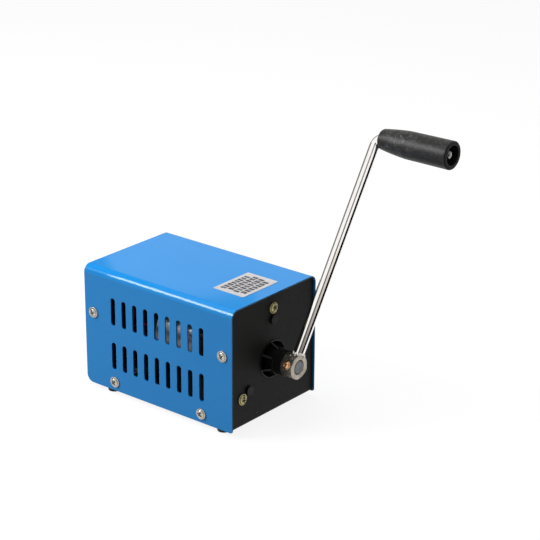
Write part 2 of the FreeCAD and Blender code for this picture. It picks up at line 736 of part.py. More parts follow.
def chassis_tabs():
    """The bent tabs that the cover's side screws go into."""
    tabs = []
    tab_z = centred(BOTTOM + END_SCREW_HEIGHT, END_TAB_HEIGHT)
    for side in (-1, 1):
        x_range = sorted((side * CHASSIS_SIDE, side * (CHASSIS_SIDE - CHASSIS_SHEET)))
        tabs.append(block(x_range, (PLATE_BACK, PLATE_BACK + END_TAB_DEPTH), tab_z))
        tabs.append(block(x_range, (REAR_BACK - END_TAB_DEPTH, REAR_BACK), tab_z))
        for y, _ in FLOOR_SCREW_PLACES:
            z_range = (FLOOR_TOP, FLOOR_TOP + FLOOR_TAB_HEIGHT)
            tabs.append(block(x_range, centred(y, FLOOR_TAB_LENGTH), z_range))
    return tabs


def chassis_cutters():
    """Every hole in the chassis."""
    cutters = [along_y(NOSE_RIM_RADIUS + NOSE_HOLE_GAP, PLATE_FACE, PLATE_BACK)]
    for angle in MOUNT_ANGLES:
        hole = MOUNT_SCREW_RADIUS + SCREW_CLEARANCE
        cutters.append(bar_on_circle(angle, MOUNT_SCREW_CIRCLE, hole, PLATE_FACE, PLATE_BACK))
        cutters.append(
            bar_on_circle(angle, PEG_CIRCLE, PEG_RADIUS + PEG_GAP, PLATE_FACE, PLATE_BACK)
        )
    hole = COVER_SCREW_RADIUS + SCREW_CLEARANCE
    for y, z in END_SCREW_PLACES + FLOOR_SCREW_PLACES:
        start = Vector(-SIDE, y, z)
        cutters.append(Part.makeCylinder(hole, BODY_WIDTH, start, X_AXIS))
    for x, y in FOOT_PLACES:
        cutters.append(along_z(FOOT_SCREW_RADIUS + SCREW_CLEARANCE, BOTTOM, FLOOR_TOP, x, y))
    for x in SOCKET_PLACES:
        radius = SOCKET_BUSH_RADIUS + SOCKET_HOLE_GAP
        cutters.append(along_y(radius, REAR_BACK, REAR_FACE, x, OUTLET_HEIGHT))
    cutters.append(block(
        centred(SWITCH_CENTRE, SWITCH_BODY_WIDTH + 2 * SWITCH_CUT_GAP),
        (REAR_BACK, REAR_FACE),
        centred(OUTLET_HEIGHT, SWITCH_BODY_HEIGHT + 2 * SWITCH_CUT_GAP),
    ))
    cutters.append(block(
        centred(USB_CENTRE, USB_WIDTH + 2 * USB_WINDOW_GAP),
        (REAR_BACK, REAR_FACE),
        (BOARD_TOP - USB_WINDOW_GAP, BOARD_TOP + USB_HEIGHT + USB_WINDOW_GAP),
    ))
    return cutters


def cover_screws():
    """The eight pan head screws in the cover's sides."""
    screws = []
    for side in (-1, 1):
        for y, z in END_SCREW_PLACES + FLOOR_SCREW_PLACES:
            screws.append(pan_screw(
                Vector(side * SIDE, y, z), X_AXIS * -side,
                COVER_SCREW_HEAD_RADIUS, COVER_SCREW_HEAD_HEIGHT,
                COVER_SCREW_RADIUS, COVER_SCREW_LENGTH,
            ))
    return screws


def rubber_feet():
    """Four tapered rubber feet, each with a recess for its screw."""
    feet = []
    head = FOOT_SCREW_HEAD_RADIUS + SCREW_CLEARANCE
    shank = FOOT_SCREW_RADIUS + SCREW_CLEARANCE
    recess = FOOT_SCREW_HEAD_HEIGHT + FOOT_TAPER
    outline = [
        (shank, 0),
        (FOOT_RADIUS, 0),
        (FOOT_RADIUS - FOOT_TAPER, FOOT_HEIGHT),
        (head, FOOT_HEIGHT),
        (head, FOOT_HEIGHT - recess),
        (shank, FOOT_HEIGHT - recess),
    ]
    for x, y in FOOT_PLACES:
        feet.append(turned(outline, Vector(x, y, BOTTOM), Z_AXIS * -1))
    return feet


def foot_screws():
    """The screws that hold the feet to the floor."""
    seat = FOOT_SCREW_HEAD_HEIGHT + FOOT_TAPER
    return [
        pan_screw(
            Vector(x, y, seat), Z_AXIS, FOOT_SCREW_HEAD_RADIUS, FOOT_SCREW_HEAD_HEIGHT,
            FOOT_SCREW_RADIUS, FOOT_SCREW_LENGTH,
        )
        for x, y in FOOT_PLACES
    ]


def top_label():
    """The thin label near the front of the cover's top."""
    front = FRONT + LABEL_FRONT_INSET
    plate = block(
        centred(LABEL_OFFSET, LABEL_WIDTH),
        (front, front + LABEL_LENGTH),
        (TOP, TOP + LABEL_THICKNESS),
    )
    edges = [edge for edge in plate.Edges if abs(edge.tangentAt(edge.FirstParameter).z) > 0.9]
    return plate.makeFillet(LABEL_CORNER, edges)


# ---------------------------------------------------------------- the gearbox

def gearbox_front_case():
    """The moulded front case: ribbed nose, mounting flange, pegs and bearing seat."""
    flange = along_y(CASE_RADIUS, PLATE_BACK, FLANGE_BACK)
    plug = along_y(NOSE_RIM_RADIUS, PLATE_FACE - NOSE_RIM_PROUD, PLATE_BACK)
    skirt = along_y(CASE_RADIUS, FLANGE_BACK, FRONT_CASE_END)
    hollow = along_y(CASE_RADIUS - CASE_WALL, FLANGE_BACK, FRONT_CASE_END)
    hub = along_y(BEARING_RADIUS + BEARING_HUB_WALL, FLANGE_BACK, BEARING_END)
    ears = [
        bar_on_circle(angle, MOUNT_SCREW_CIRCLE, MOUNT_EAR_RADIUS,
                      PLATE_BACK, PLATE_BACK + MOUNT_EAR_DEPTH)
        for angle in MOUNT_ANGLES
    ]
    bridges = [ear_bridge(angle) for angle in MOUNT_ANGLES]
    pegs = [
        bar_on_circle(angle, PEG_CIRCLE, PEG_RADIUS, PLATE_FACE - PEG_PROUD, PLATE_BACK)
        for angle in MOUNT_ANGLES
    ]
    case_ears = [
        bar_on_circle(angle, CASE_EAR_CIRCLE, CASE_EAR_RADIUS,
                      FRONT_CASE_END - CASE_BOLT_GRIP - CASE_BOLT_RADIUS, FRONT_CASE_END)
        for angle in CASE_EAR_ANGLES
    ]
    body = fused(skirt.cut(hollow), flange, plug, hub, nose_tube(), *ears, *bridges, *pegs, *case_ears)
    body = body.cut(nose_pockets())
    body = fused(body, *nose_ribs(), *case_ribs())
    return body.cut(front_case_bores())


def ear_bridge(angle):
    """The web that joins a mounting ear to the round case."""
    web = block(
        (CASE_RADIUS - CASE_WALL / 2, MOUNT_SCREW_CIRCLE),
        (PLATE_BACK, PLATE_BACK + MOUNT_EAR_DEPTH),
        centred(SHAFT_HEIGHT, 2 * MOUNT_EAR_RADIUS),
    )
    web.rotate(AXIS_POINT, Y_AXIS, -angle)
    return web


def nose_tube():
    """The stepped tube that carries the front bush, through the front plate."""
    shoulder = PLATE_FACE - NOSE_SHOULDER_OUT - NOSE_TIP
    outline = [
        (0, 0),
        (NOSE_TIP_RADIUS, 0),
        (NOSE_TIP_RADIUS, shoulder),
        (NOSE_ROOT_RADIUS, shoulder),
        (NOSE_ROOT_RADIUS, FLANGE_BACK - NOSE_TIP),
        (0, FLANGE_BACK - NOSE_TIP),
    ]
    return turned(outline, Vector(0, NOSE_TIP, SHAFT_HEIGHT), Y_AXIS)


def nose_pockets():
    """The ring-shaped pocket between the nose tube and its rim."""
    start = PLATE_FACE - NOSE_RIM_PROUD
    outer = along_y(NOSE_RIM_RADIUS - NOSE_RIM_WIDTH, start, PLATE_FACE + NOSE_POCKET_DEPTH)
    return outer.cut(nose_tube())


def nose_ribs():
    """The triangular ribs from the rim up the nose tube."""
    ribs = []
    floor = PLATE_FACE + NOSE_POCKET_DEPTH
    top = PLATE_FACE - NOSE_RIB_TOP_OUT
    inner = (NOSE_TIP_RADIUS + BUSH_RADIUS) / 2
    corners = [
        Vector(inner, floor, 0),
        Vector(NOSE_RIM_RADIUS - NOSE_RIM_WIDTH / 2, floor, 0),
        Vector(NOSE_RIM_RADIUS - NOSE_RIM_WIDTH / 2, PLATE_FACE - NOSE_RIM_PROUD, 0),
        Vector(NOSE_TIP_RADIUS, top, 0),
        Vector(inner, top, 0),
    ]
    for step in range(NOSE_RIB_COUNT):
        face = Part.Face(Part.makePolygon(corners + corners[:1]))
        rib = face.extrude(Vector(0, 0, NOSE_RIB_WIDTH))
        rib.translate(Vector(0, 0, SHAFT_HEIGHT - NOSE_RIB_WIDTH / 2))
        rib.rotate(AXIS_POINT, Y_AXIS, -(NOSE_RIB_START + step * 360.0 / NOSE_RIB_COUNT))
        ribs.append(rib)
    return ribs


def case_ribs():
    """Ribs between the bearing hub and the case wall."""
    ribs = []
    for angle in MOUNT_ANGLES:
        rib = block(
            (BEARING_RADIUS + BEARING_HUB_WALL / 2, CASE_RADIUS - CASE_WALL / 2),
            (FLANGE_BACK - CASE_RIB_WIDTH / 2, BEARING_END),
            centred(SHAFT_HEIGHT, CASE_RIB_WIDTH),
        )
        rib.rotate(AXIS_POINT, Y_AXIS, -angle)
        ribs.append(rib)
    return ribs


def front_case_bores():
    """Seats and holes in the front case."""
    bush_start = NOSE_TIP + BUSH_RECESS
    cutters = [
        along_y(BUSH_RADIUS, NOSE_TIP, bush_start + BUSH_LENGTH),
        along_y(SHAFT_RADIUS + SPACER_GAP, NOSE_TIP, FLANGE_BACK),
        along_y(BEARING_RADIUS, FLANGE_BACK, BEARING_END),
    ]
    for angle in MOUNT_ANGLES:
        cutters.append(bar_on_circle(
            angle, MOUNT_SCREW_CIRCLE, MOUNT_SCREW_RADIUS + SCREW_CLEARANCE / 2,
            PLATE_BACK, PLATE_FACE + MOUNT_SCREW_LENGTH + SCREW_CLEARANCE,
        ))
    for angle in CASE_EAR_ANGLES:
        cutters.append(bar_on_circle(
            angle, CASE_EAR_CIRCLE, CASE_BOLT_RADIUS + SCREW_CLEARANCE / 2,
            FRONT_CASE_END - CASE_BOLT_GRIP, FRONT_CASE_END,
        ))
    return cutters


def gearbox_screws():
    """The three yellow screws through the front plate into the gearbox."""
    return [
        pan_screw(
            on_circle(angle, MOUNT_SCREW_CIRCLE, PLATE_FACE), Y_AXIS,
            MOUNT_SCREW_HEAD_RADIUS, MOUNT_SCREW_HEAD_HEIGHT,
            MOUNT_SCREW_RADIUS, MOUNT_SCREW_LENGTH,
        )
        for angle in MOUNT_ANGLES
    ]


def nose_bush():
    """The plain bush at the tip of the nose."""
    start = NOSE_TIP + BUSH_RECESS
    outer = along_y(BUSH_RADIUS, start, start + BUSH_LENGTH)
    return outer.cut(along_y(SHAFT_RADIUS + RUNNING_GAP, start, start + BUSH_LENGTH))


def bearing_outer():
    """The main bearing's outer ring with its two shields."""
    inner = BEARING_SPLIT_RADIUS + RUNNING_GAP
    step = BEARING_RADIUS - BEARING_RING_WIDTH
    outline = [
        (inner, BEARING_SHIELD_RECESS),
        (step, BEARING_SHIELD_RECESS),
        (step, 0),
        (BEARING_RADIUS, 0),
        (BEARING_RADIUS, BEARING_WIDTH),
        (step, BEARING_WIDTH),
        (step, BEARING_WIDTH - BEARING_SHIELD_RECESS),
        (inner, BEARING_WIDTH - BEARING_SHIELD_RECESS),
    ]
    return turned(outline, Vector(0, FLANGE_BACK, SHAFT_HEIGHT), Y_AXIS)


def bearing_inner():
    """The main bearing's inner ring, pressed on the shaft."""
    ring = along_y(BEARING_SPLIT_RADIUS, FLANGE_BACK, BEARING_END)
    return ring.cut(along_y(SHAFT_RADIUS, FLANGE_BACK, BEARING_END))


def ring_gear():
    """The fixed ring gear barrel that both stages run in, with three bolt ears."""
    barrel = along_y(CASE_RADIUS, FRONT_CASE_END, RING_GEAR_END)
    ears = [
        bar_on_circle(angle, CASE_EAR_CIRCLE, CASE_EAR_RADIUS, FRONT_CASE_END, RING_GEAR_END)
        for angle in CASE_EAR_ANGLES
    ]
    holes = [
        bar_on_circle(angle, CASE_EAR_CIRCLE, CASE_BOLT_RADIUS + SCREW_CLEARANCE,
                      FRONT_CASE_END, RING_GEAR_END)
        for angle in CASE_EAR_ANGLES
    ]
    body = fused(barrel, *ears)
    return body.cut([ring_gear_space(FRONT_CASE_END, RING_GEAR_LENGTH)] + holes)


def motor_plate():
    """The steel plate that closes the gearbox and carries the motor."""
    plate = along_y(CASE_RADIUS, RING_GEAR_END, MOTOR_FACE)
    ears = [
        bar_on_circle(angle, CASE_EAR_CIRCLE, CASE_EAR_RADIUS, RING_GEAR_END, MOTOR_FACE)
        for angle in CASE_EAR_ANGLES
    ]
    cutters = [along_y(MOTOR_BOSS_RADIUS + MOTOR_PILOT_GAP, RING_GEAR_END, MOTOR_FACE)]
    for angle in CASE_EAR_ANGLES:
        radius = CASE_BOLT_RADIUS + SCREW_CLEARANCE
        cutters.append(bar_on_circle(angle, CASE_EAR_CIRCLE, radius, RING_GEAR_END, MOTOR_FACE))
    for angle in (0.0, 180.0):
        radius = MOTOR_SCREW_RADIUS + SCREW_CLEARANCE
        cutters.append(bar_on_circle(angle, MOTOR_SCREW_CIRCLE, radius, RING_GEAR_END, MOTOR_FACE))
    return fused(plate, *ears).cut(cutters)


def case_bolts():
    """The three long bolts that clamp plate and ring gear to the front case."""
    length = MOTOR_PLATE_THICKNESS + RING_GEAR_LENGTH + CASE_BOLT_GRIP - SCREW_CLEARANCE
    return [
        pan_screw(
            on_circle(angle, CASE_EAR_CIRCLE, MOTOR_FACE), Y_AXIS * -1,
            CASE_BOLT_HEAD_RADIUS, CASE_BOLT_HEAD_HEIGHT, CASE_BOLT_RADIUS, length,
        )
        for angle in CASE_EAR_ANGLES
    ]


def motor_screws():
    """The two screws from the gearbox side into the motor's face."""
    return [
        pan_screw(
            on_circle(angle, MOTOR_SCREW_CIRCLE, RING_GEAR_END), Y_AXIS,
            MOTOR_SCREW_HEAD_RADIUS, MOTOR_SCREW_HEAD_HEIGHT,
            MOTOR_SCREW_RADIUS, MOTOR_SCREW_LENGTH,
        )
        for angle in MOTOR_SCREW_ANGLES
    ]


# ------------------------------------------------------------------ the motor

def motor_can():
    """The drawn steel can with its bearing boss."""
    outline = [
        (MOTOR_BUSH_RADIUS, -MOTOR_BOSS_LENGTH),
        (MOTOR_BOSS_RADIUS, -MOTOR_BOSS_LENGTH),
        (MOTOR_BOSS_RADIUS, 0),
        (MOTOR_RADIUS - MOTOR_CAN_WALL, 0),
        (MOTOR_RADIUS, MOTOR_CAN_WALL),
        (MOTOR_RADIUS, MOTOR_CAN_LENGTH),
        (MOTOR_RADIUS - MOTOR_CAN_WALL, MOTOR_CAN_LENGTH),
        (MOTOR_RADIUS - MOTOR_CAN_WALL, MOTOR_CAN_WALL),
        (MOTOR_BUSH_RADIUS, MOTOR_CAN_WALL),
    ]
    can = turned(outline, Vector(0, MOTOR_FACE, SHAFT_HEIGHT), Y_AXIS)
    holes = [
        bar_on_circle(angle, MOTOR_SCREW_CIRCLE, MOTOR_SCREW_RADIUS + SCREW_CLEARANCE / 2,
                      MOTOR_FACE, MOTOR_FACE + MOTOR_CAN_WALL)
        for angle in (0.0, 180.0)
    ]
    return can.cut(holes)


def motor_magnets():
    """Two curved magnets against the inside of the can."""
    outer = MOTOR_RADIUS - MOTOR_CAN_WALL
    inner = outer - MAGNET_THICKNESS
    start = MOTOR_FACE + MAGNET_START
    half = MAGNET_SPAN / 2
    magnets = []
    for middle in (0.0, 180.0):
        low, high = middle - half, middle + half
        edges = [
            Part.Arc(
                on_circle(low, outer, start),
                on_circle(middle, outer, start),
                on_circle(high, outer, start),
            ).toShape(),
            Part.makeLine(on_circle(high, outer, start), on_circle(high, inner, start)),
            Part.Arc(
                on_circle(high, inner, start),
                on_circle(middle, inner, start),
                on_circle(low, inner, start),
            ).toShape(),
            Part.makeLine(on_circle(low, inner, start), on_circle(low, outer, start)),
        ]
        magnets.append(Part.Face(Part.Wire(edges)).extrude(Vector(0, MAGNET_LENGTH, 0)))
    return magnets


def motor_end_cap():
    """The plastic end cap with brush boxes and a rear bearing boss."""
    outline = [
        (MOTOR_BUSH_RADIUS, END_CAP_LENGTH + END_CAP_BOSS_LENGTH),
        (END_CAP_BOSS_RADIUS, END_CAP_LENGTH + END_CAP_BOSS_LENGTH),
        (END_CAP_BOSS_RADIUS, END_CAP_LENGTH),
        (MOTOR_RADIUS - END_CAP_WALL / 2, END_CAP_LENGTH),
        (MOTOR_RADIUS, END_CAP_LENGTH - END_CAP_WALL / 2),
        (MOTOR_RADIUS, 0),
        (MOTOR_RADIUS - END_CAP_WALL, 0),
        (MOTOR_RADIUS - END_CAP_WALL, END_CAP_LENGTH - END_CAP_FLOOR),
        (MOTOR_BUSH_RADIUS, END_CAP_LENGTH - END_CAP_FLOOR),
    ]
    cap = turned(outline, Vector(0, MOTOR_CAN_END, SHAFT_HEIGHT), Y_AXIS)
    boxes = [brush_box(side) for side in (-1, 1)]
    slots = [
        block(
            centred(side * TERMINAL_SPACING / 2, TERMINAL_THICKNESS),
            (END_CAP_END - END_CAP_FLOOR, END_CAP_END),
            centred(SHAFT_HEIGHT, TERMINAL_WIDTH),
        )
        for side in (-1, 1)
    ]
    return fused(cap, *boxes).cut(slots)


def brush_box(side):
    """A guide box for one brush, moulded on the cap's floor."""
    inner = COMMUTATOR_RADIUS + BRUSH_BOX_INSET
    outer = COMMUTATOR_RADIUS + BRUSH_LENGTH + BRUSH_BOX_WALL
    x_range = sorted((side * inner, side * outer))
    floor = END_CAP_END - END_CAP_FLOOR
    shell = block(x_range, (floor - BRUSH_WIDTH - BRUSH_BOX_WALL, floor),
                  centred(SHAFT_HEIGHT, BRUSH_HEIGHT + 2 * BRUSH_BOX_WALL))
    channel_space = block(x_range, (floor - BRUSH_WIDTH, floor),
                          centred(SHAFT_HEIGHT, BRUSH_HEIGHT))
    return shell.cut(channel_space)


def motor_bushes():
    """The rotor's two plain bearings."""
    bushes = []
    for start in (MOTOR_FACE - MOTOR_BOSS_LENGTH, END_CAP_END - END_CAP_FLOOR):
        outer = along_y(MOTOR_BUSH_RADIUS, start, start + MOTOR_BUSH_LENGTH)
        bore = along_y(MOTOR_SHAFT_RADIUS + RUNNING_GAP, start, start + MOTOR_BUSH_LENGTH)
        bushes.append(outer.cut(bore))
    return bushes


def motor_brushes():
    """Two carbon brushes that bear on the commutator."""
    floor = END_CAP_END - END_CAP_FLOOR
    brushes = []
    for side in (-1, 1):
        start = COMMUTATOR_RADIUS - BRUSH_WIDTH / 2
        x_range = sorted((side * start, side * (COMMUTATOR_RADIUS + BRUSH_LENGTH)))
        brush = block(x_range, (floor - BRUSH_WIDTH, floor), centred(SHAFT_HEIGHT, BRUSH_HEIGHT))
        brushes.append(brush.cut(along_y(COMMUTATOR_RADIUS + BRUSH_GAP, MOTOR_CAN_END, END_CAP_END)))
    return brushes


def motor_terminals():
    """The two blade terminals on the end cap."""
    return [
        block(
            centred(side * TERMINAL_SPACING / 2, TERMINAL_THICKNESS),
            (END_CAP_END - END_CAP_FLOOR, TERMINAL_END),
            centred(SHAFT_HEIGHT, TERMINAL_WIDTH),
        )
        for side in (-1, 1)
    ]


def rotor_shaft():
    """The rotor's shaft, from the pinion to the rear bush."""
    return along_y(MOTOR_SHAFT_RADIUS, PLANETS_2_START, END_CAP_END + END_CAP_BOSS_LENGTH)


def armature_start():
    return MOTOR_FACE + MAGNET_START + (MAGNET_LENGTH - ARMATURE_LENGTH) / 2


def armature_core():
    """The laminated core: five poles round a hub."""
    radius = MOTOR_RADIUS - MOTOR_CAN_WALL - MAGNET_THICKNESS - ARMATURE_AIR_GAP
    start = armature_start()
    end = start + ARMATURE_LENGTH
    core = along_y(radius, start, end).cut(along_y(MOTOR_SHAFT_RADIUS, start, end))
    return core.cut(armature_slots(radius, start, end, 0.0))


def armature_slots(radius, start, end, margin):
    """The winding slots: a wide space behind a narrow mouth."""
    cutters = []
    for step in range(ARMATURE_SLOTS):
        angle = step * 360.0 / ARMATURE_SLOTS
        wide = block(
            (ARMATURE_HUB_RADIUS + margin, radius - ARMATURE_TIP_THICKNESS - margin),
            (start, end),
            centred(SHAFT_HEIGHT, ARMATURE_SLOT_WIDTH - 2 * margin),
        )
        wide.rotate(AXIS_POINT, Y_AXIS, -angle)
        cutters.append(wide)
        if margin == 0.0:
            mouth = block(
                (ARMATURE_HUB_RADIUS, radius + ARMATURE_TIP_THICKNESS),
                (start, end),
                centred(SHAFT_HEIGHT, ARMATURE_SLOT_MOUTH),
            )
            mouth.rotate(AXIS_POINT, Y_AXIS, -angle)
            cutters.append(mouth)
    return cutters


def armature_windings():
    """The copper winding: slot fills joined by an overhang at each end of the core."""
    radius = MOTOR_RADIUS - MOTOR_CAN_WALL - MAGNET_THICKNESS - ARMATURE_AIR_GAP
    start = armature_start()
    end = start + ARMATURE_LENGTH
    margin = WINDING_SLOT_GAP
    fills = armature_slots(radius, start - margin, end + margin, margin)
    inner = MOTOR_SHAFT_RADIUS + WINDING_INNER_GAP
    overhangs = []
    for low in (start - WINDING_OVERHANG, end):
        disc = along_y(WINDING_RADIUS, low, low + WINDING_OVERHANG)
        overhangs.append(disc.cut(along_y(inner, low, low + WINDING_OVERHANG)))
    return fused(overhangs[0], overhangs[1], *fills)


def commutator():
    """The copper commutator behind the winding."""
    start = MOTOR_CAN_END - COMMUTATOR_INSET
    end = END_CAP_END - END_CAP_FLOOR - SPACER_GAP
    body = along_y(COMMUTATOR_RADIUS, start, end)
    return body.cut(along_y(MOTOR_SHAFT_RADIUS, start, end))


# ------------------------------------------------------------- power and outlets

def power_board():
    """The power board on its standoffs."""
    board = block(
        centred(0, BOARD_WIDTH), (BOARD_FRONT, BOARD_REAR), (BOARD_BASE, BOARD_TOP)
    )
    radius = BOARD_SCREW_RADIUS + SCREW_CLEARANCE
    return board.cut([
        along_z(radius, BOARD_BASE, BOARD_TOP, x, y) for x, y in BOARD_SCREW_PLACES
    ])


def board_standoffs():
    """Four spacers between the floor and the board."""
    radius = BOARD_SCREW_RADIUS + SCREW_CLEARANCE / 2
    return [
        along_z(STANDOFF_RADIUS, FLOOR_TOP, BOARD_BASE, x, y).cut(
            along_z(radius, FLOOR_TOP, BOARD_BASE, x, y))
        for x, y in BOARD_SCREW_PLACES
    ]


def board_screws():
    """Four screws through the board into its spacers."""
    length = BOARD_TOP - FLOOR_TOP - SCREW_CLEARANCE
    return [
        pan_screw(
            Vector(x, y, BOARD_TOP), Z_AXIS * -1, BOARD_SCREW_HEAD_RADIUS,
            BOARD_SCREW_HEAD_HEIGHT, BOARD_SCREW_RADIUS, length,
        )
        for x, y in BOARD_SCREW_PLACES
    ]


def rectifier():
    """The bridge rectifier standing on the board."""
    return block(
        centred(RECTIFIER_CENTRE, RECTIFIER_WIDTH),
        centred(BOARD_REAR - RECTIFIER_REAR_INSET, RECTIFIER_DEPTH),
        (BOARD_TOP, BOARD_TOP + RECTIFIER_HEIGHT),
    )


def smoothing_capacitor():
    """The smoothing capacitor, with a groove round its foot."""
    groove_low, groove_high = centred(CAPACITOR_GROOVE_HEIGHT, CAPACITOR_GROOVE_WIDTH)
    waist = CAPACITOR_RADIUS - CAPACITOR_GROOVE
    outline = [
        (0, 0),
        (CAPACITOR_RADIUS, 0),
        (CAPACITOR_RADIUS, groove_low),
        (waist, CAPACITOR_GROOVE_HEIGHT),
        (CAPACITOR_RADIUS, groove_high),
        (CAPACITOR_RADIUS, CAPACITOR_HEIGHT - CAPACITOR_GROOVE),
        (waist, CAPACITOR_HEIGHT),
        (0, CAPACITOR_HEIGHT),
    ]
    base = Vector(CAPACITOR_CENTRE, BOARD_REAR - CAPACITOR_REAR_INSET, BOARD_TOP)
    return turned(outline, base, Z_AXIS)


def choke_coil():
    """The wound ring choke lying on the board."""
    x, y = CHOKE_CENTRE, BOARD_REAR - CHOKE_REAR_INSET
    ring = along_z(CHOKE_RADIUS, BOARD_TOP, BOARD_TOP + CHOKE_HEIGHT, x, y)
    ring = ring.cut(along_z(CHOKE_BORE, BOARD_TOP, BOARD_TOP + CHOKE_HEIGHT, x, y))
    round_edges = [edge for edge in ring.Edges if isinstance(edge.Curve, Part.Circle)]
    return ring.makeFillet(CHOKE_ROUND, round_edges)


def usb_shell():
    """The bent metal shell of the USB socket."""
    rear = REAR_FACE + USB_PROUD
    outer = block(
        centred(USB_CENTRE, USB_WIDTH), (rear - USB_DEPTH, rear),
        (BOARD_TOP, BOARD_TOP + USB_HEIGHT),
    )
    inner = block(
        centred(USB_CENTRE, USB_WIDTH - 2 * USB_WALL), (rear - USB_DEPTH + USB_WALL, rear),
        (BOARD_TOP + USB_WALL, BOARD_TOP + USB_HEIGHT - USB_WALL),
    )
    return outer.cut(inner)


def usb_tongue():
    """The plastic block and contact tongue inside the USB socket."""
    rear = REAR_FACE + USB_PROUD
    start = rear - USB_DEPTH + USB_WALL
    z_low = BOARD_TOP + USB_WALL
    z_high = BOARD_TOP + USB_HEIGHT - USB_WALL
    body = block(
        centred(USB_CENTRE, USB_WIDTH - 2 * USB_WALL), (start, start + USB_BLOCK_DEPTH),
        (z_low, z_high),
    )
    tongue_low = z_high - USB_TONGUE_TOP_GAP - USB_TONGUE_THICKNESS
    tongue = block(
        centred(USB_CENTRE, USB_TONGUE_WIDTH),
        (start, start + USB_BLOCK_DEPTH + USB_TONGUE_LENGTH),
        (tongue_low, tongue_low + USB_TONGUE_THICKNESS),
    )
    return fused(body, tongue)


def outlet_body(x):
    """The coloured plastic body of one 4 mm outlet socket."""
    front = REAR_FACE - SOCKET_BUSH_LENGTH
    rear = REAR_FACE + SOCKET_FLANGE_LENGTH
    outline = [
        (SOCKET_CONTACT_RADIUS, 0),
        (SOCKET_BUSH_RADIUS, 0),
        (SOCKET_BUSH_RADIUS, SOCKET_BUSH_LENGTH),
        (SOCKET_FLANGE_RADIUS, SOCKET_BUSH_LENGTH),
        (SOCKET_FLANGE_RADIUS, rear - front - SOCKET_FLANGE_CHAMFER),
        (SOCKET_FLANGE_RADIUS - SOCKET_FLANGE_CHAMFER, rear - front),
        (SOCKET_CONTACT_RADIUS, rear - front),
    ]
    return turned(outline, Vector(x, front, OUTLET_HEIGHT), Y_AXIS)


def outlet_contacts():
    """The brass contact tubes of both outlet sockets."""
    contacts = []
    for x in SOCKET_PLACES:
        tube = along_y(SOCKET_CONTACT_RADIUS, SOCKET_CONTACT_FRONT, SOCKET_CONTACT_REAR,
                       x, OUTLET_HEIGHT)
        bore = along_y(SOCKET_BORE_RADIUS, SOCKET_CONTACT_REAR - SOCKET_BORE_DEPTH,
                       SOCKET_CONTACT_REAR, x, OUTLET_HEIGHT)
        contacts.append(tube.cut(bore))
    return contacts


def outlet_nuts():
    """The nuts that clamp both outlet sockets from inside."""
    nuts = []
    for x in SOCKET_PLACES:
        body = hexagon(SOCKET_NUT_FLATS, REAR_BACK - SOCKET_NUT_THICKNESS, REAR_BACK,
                       x, OUTLET_HEIGHT)
        hole = along_y(SOCKET_BUSH_RADIUS, REAR_BACK - SOCKET_NUT_THICKNESS, REAR_BACK,
                       x, OUTLET_HEIGHT)
        nuts.append(body.cut(hole))
    return nuts


def switch_body():
    """The rocker switch's housing with its bezel, well and blade terminals."""
    bezel = rounded_block(
        centred(SWITCH_CENTRE, SWITCH_BEZEL_WIDTH), centred(OUTLET_HEIGHT, SWITCH_BEZEL_HEIGHT),
        SWITCH_BEZEL_CORNER, REAR_FACE, REAR_FACE + SWITCH_BEZEL_THICKNESS,
    )
    shell = block(
        centred(SWITCH_CENTRE, SWITCH_BODY_WIDTH), (REAR_FACE - SWITCH_BODY_DEPTH, REAR_FACE),
        centred(OUTLET_HEIGHT, SWITCH_BODY_HEIGHT),
    )
    well = block(
        centred(SWITCH_CENTRE, SWITCH_WELL_WIDTH),
        (REAR_FACE - SWITCH_WELL_DEPTH, REAR_FACE + SWITCH_BEZEL_THICKNESS),
        centred(OUTLET_HEIGHT, SWITCH_WELL_HEIGHT),
    )
    tabs = [
        block(
            centred(SWITCH_CENTRE, SWITCH_TAB_WIDTH),
            (SWITCH_TAB_END, REAR_FACE - SWITCH_BODY_DEPTH),
            centred(z, SWITCH_TAB_THICKNESS),
        )
        for z in switch_tab_heights()
    ]
    pin_start, pin_end = centred(SWITCH_CENTRE, SWITCH_WELL_WIDTH + SWITCH_BODY_WALL)
    pivot = Part.makeCylinder(
        ROCKER_PIN_RADIUS, pin_end - pin_start,
        Vector(pin_start, REAR_FACE - ROCKER_PIVOT_DEPTH, OUTLET_HEIGHT), X_AXIS,
    )
    return fused(bezel, shell).cut(well).fuse([pivot] + tabs).removeSplitter()


def switch_tab_heights():
    return centred(OUTLET_HEIGHT, SWITCH_TAB_SPACING)


def switch_rocker():
    """The rocker, tilted to its first position on its pivot pin."""
    pivot_y = REAR_FACE - ROCKER_PIVOT_DEPTH
    rise = SWITCH_BEZEL_THICKNESS + ROCKER_PIVOT_DEPTH
    tilt = math.radians(ROCKER_TILT)
    half = (SWITCH_WELL_HEIGHT / 2 - ROCKER_SIDE_GAP - rise * math.sin(tilt)) * math.cos(tilt)
    lift = half * math.tan(tilt)
    keel = ROCKER_PIN_RADIUS + ROCKER_PIN_WALL
    shoulder = half - ROCKER_SIDE_GAP
    corners = [
        (-keel, -half / 2),
        (0, -shoulder),
        (rise + lift, -half),
        (rise, 0),
        (rise + lift, half),
        (0, shoulder),
        (-keel, half / 2),
    ]
    width = SWITCH_WELL_WIDTH - 2 * ROCKER_SIDE_GAP
    left = SWITCH_CENTRE - width / 2
    points = [Vector(left, pivot_y + out, OUTLET_HEIGHT + up) for out, up in corners]
    body = Part.Face(Part.makePolygon(points + points[:1])).extrude(Vector(width, 0, 0))
    bore = Part.makeCylinder(
        ROCKER_PIN_RADIUS + ROCKER_PIN_GAP, width, Vector(left, pivot_y, OUTLET_HEIGHT), X_AXIS
    )
    body = body.cut(bore)
    body.rotate(Vector(SWITCH_CENTRE, pivot_y, OUTLET_HEIGHT), X_AXIS, ROCKER_TILT)
    return body


# ------------------------------------------------------------------- the leads

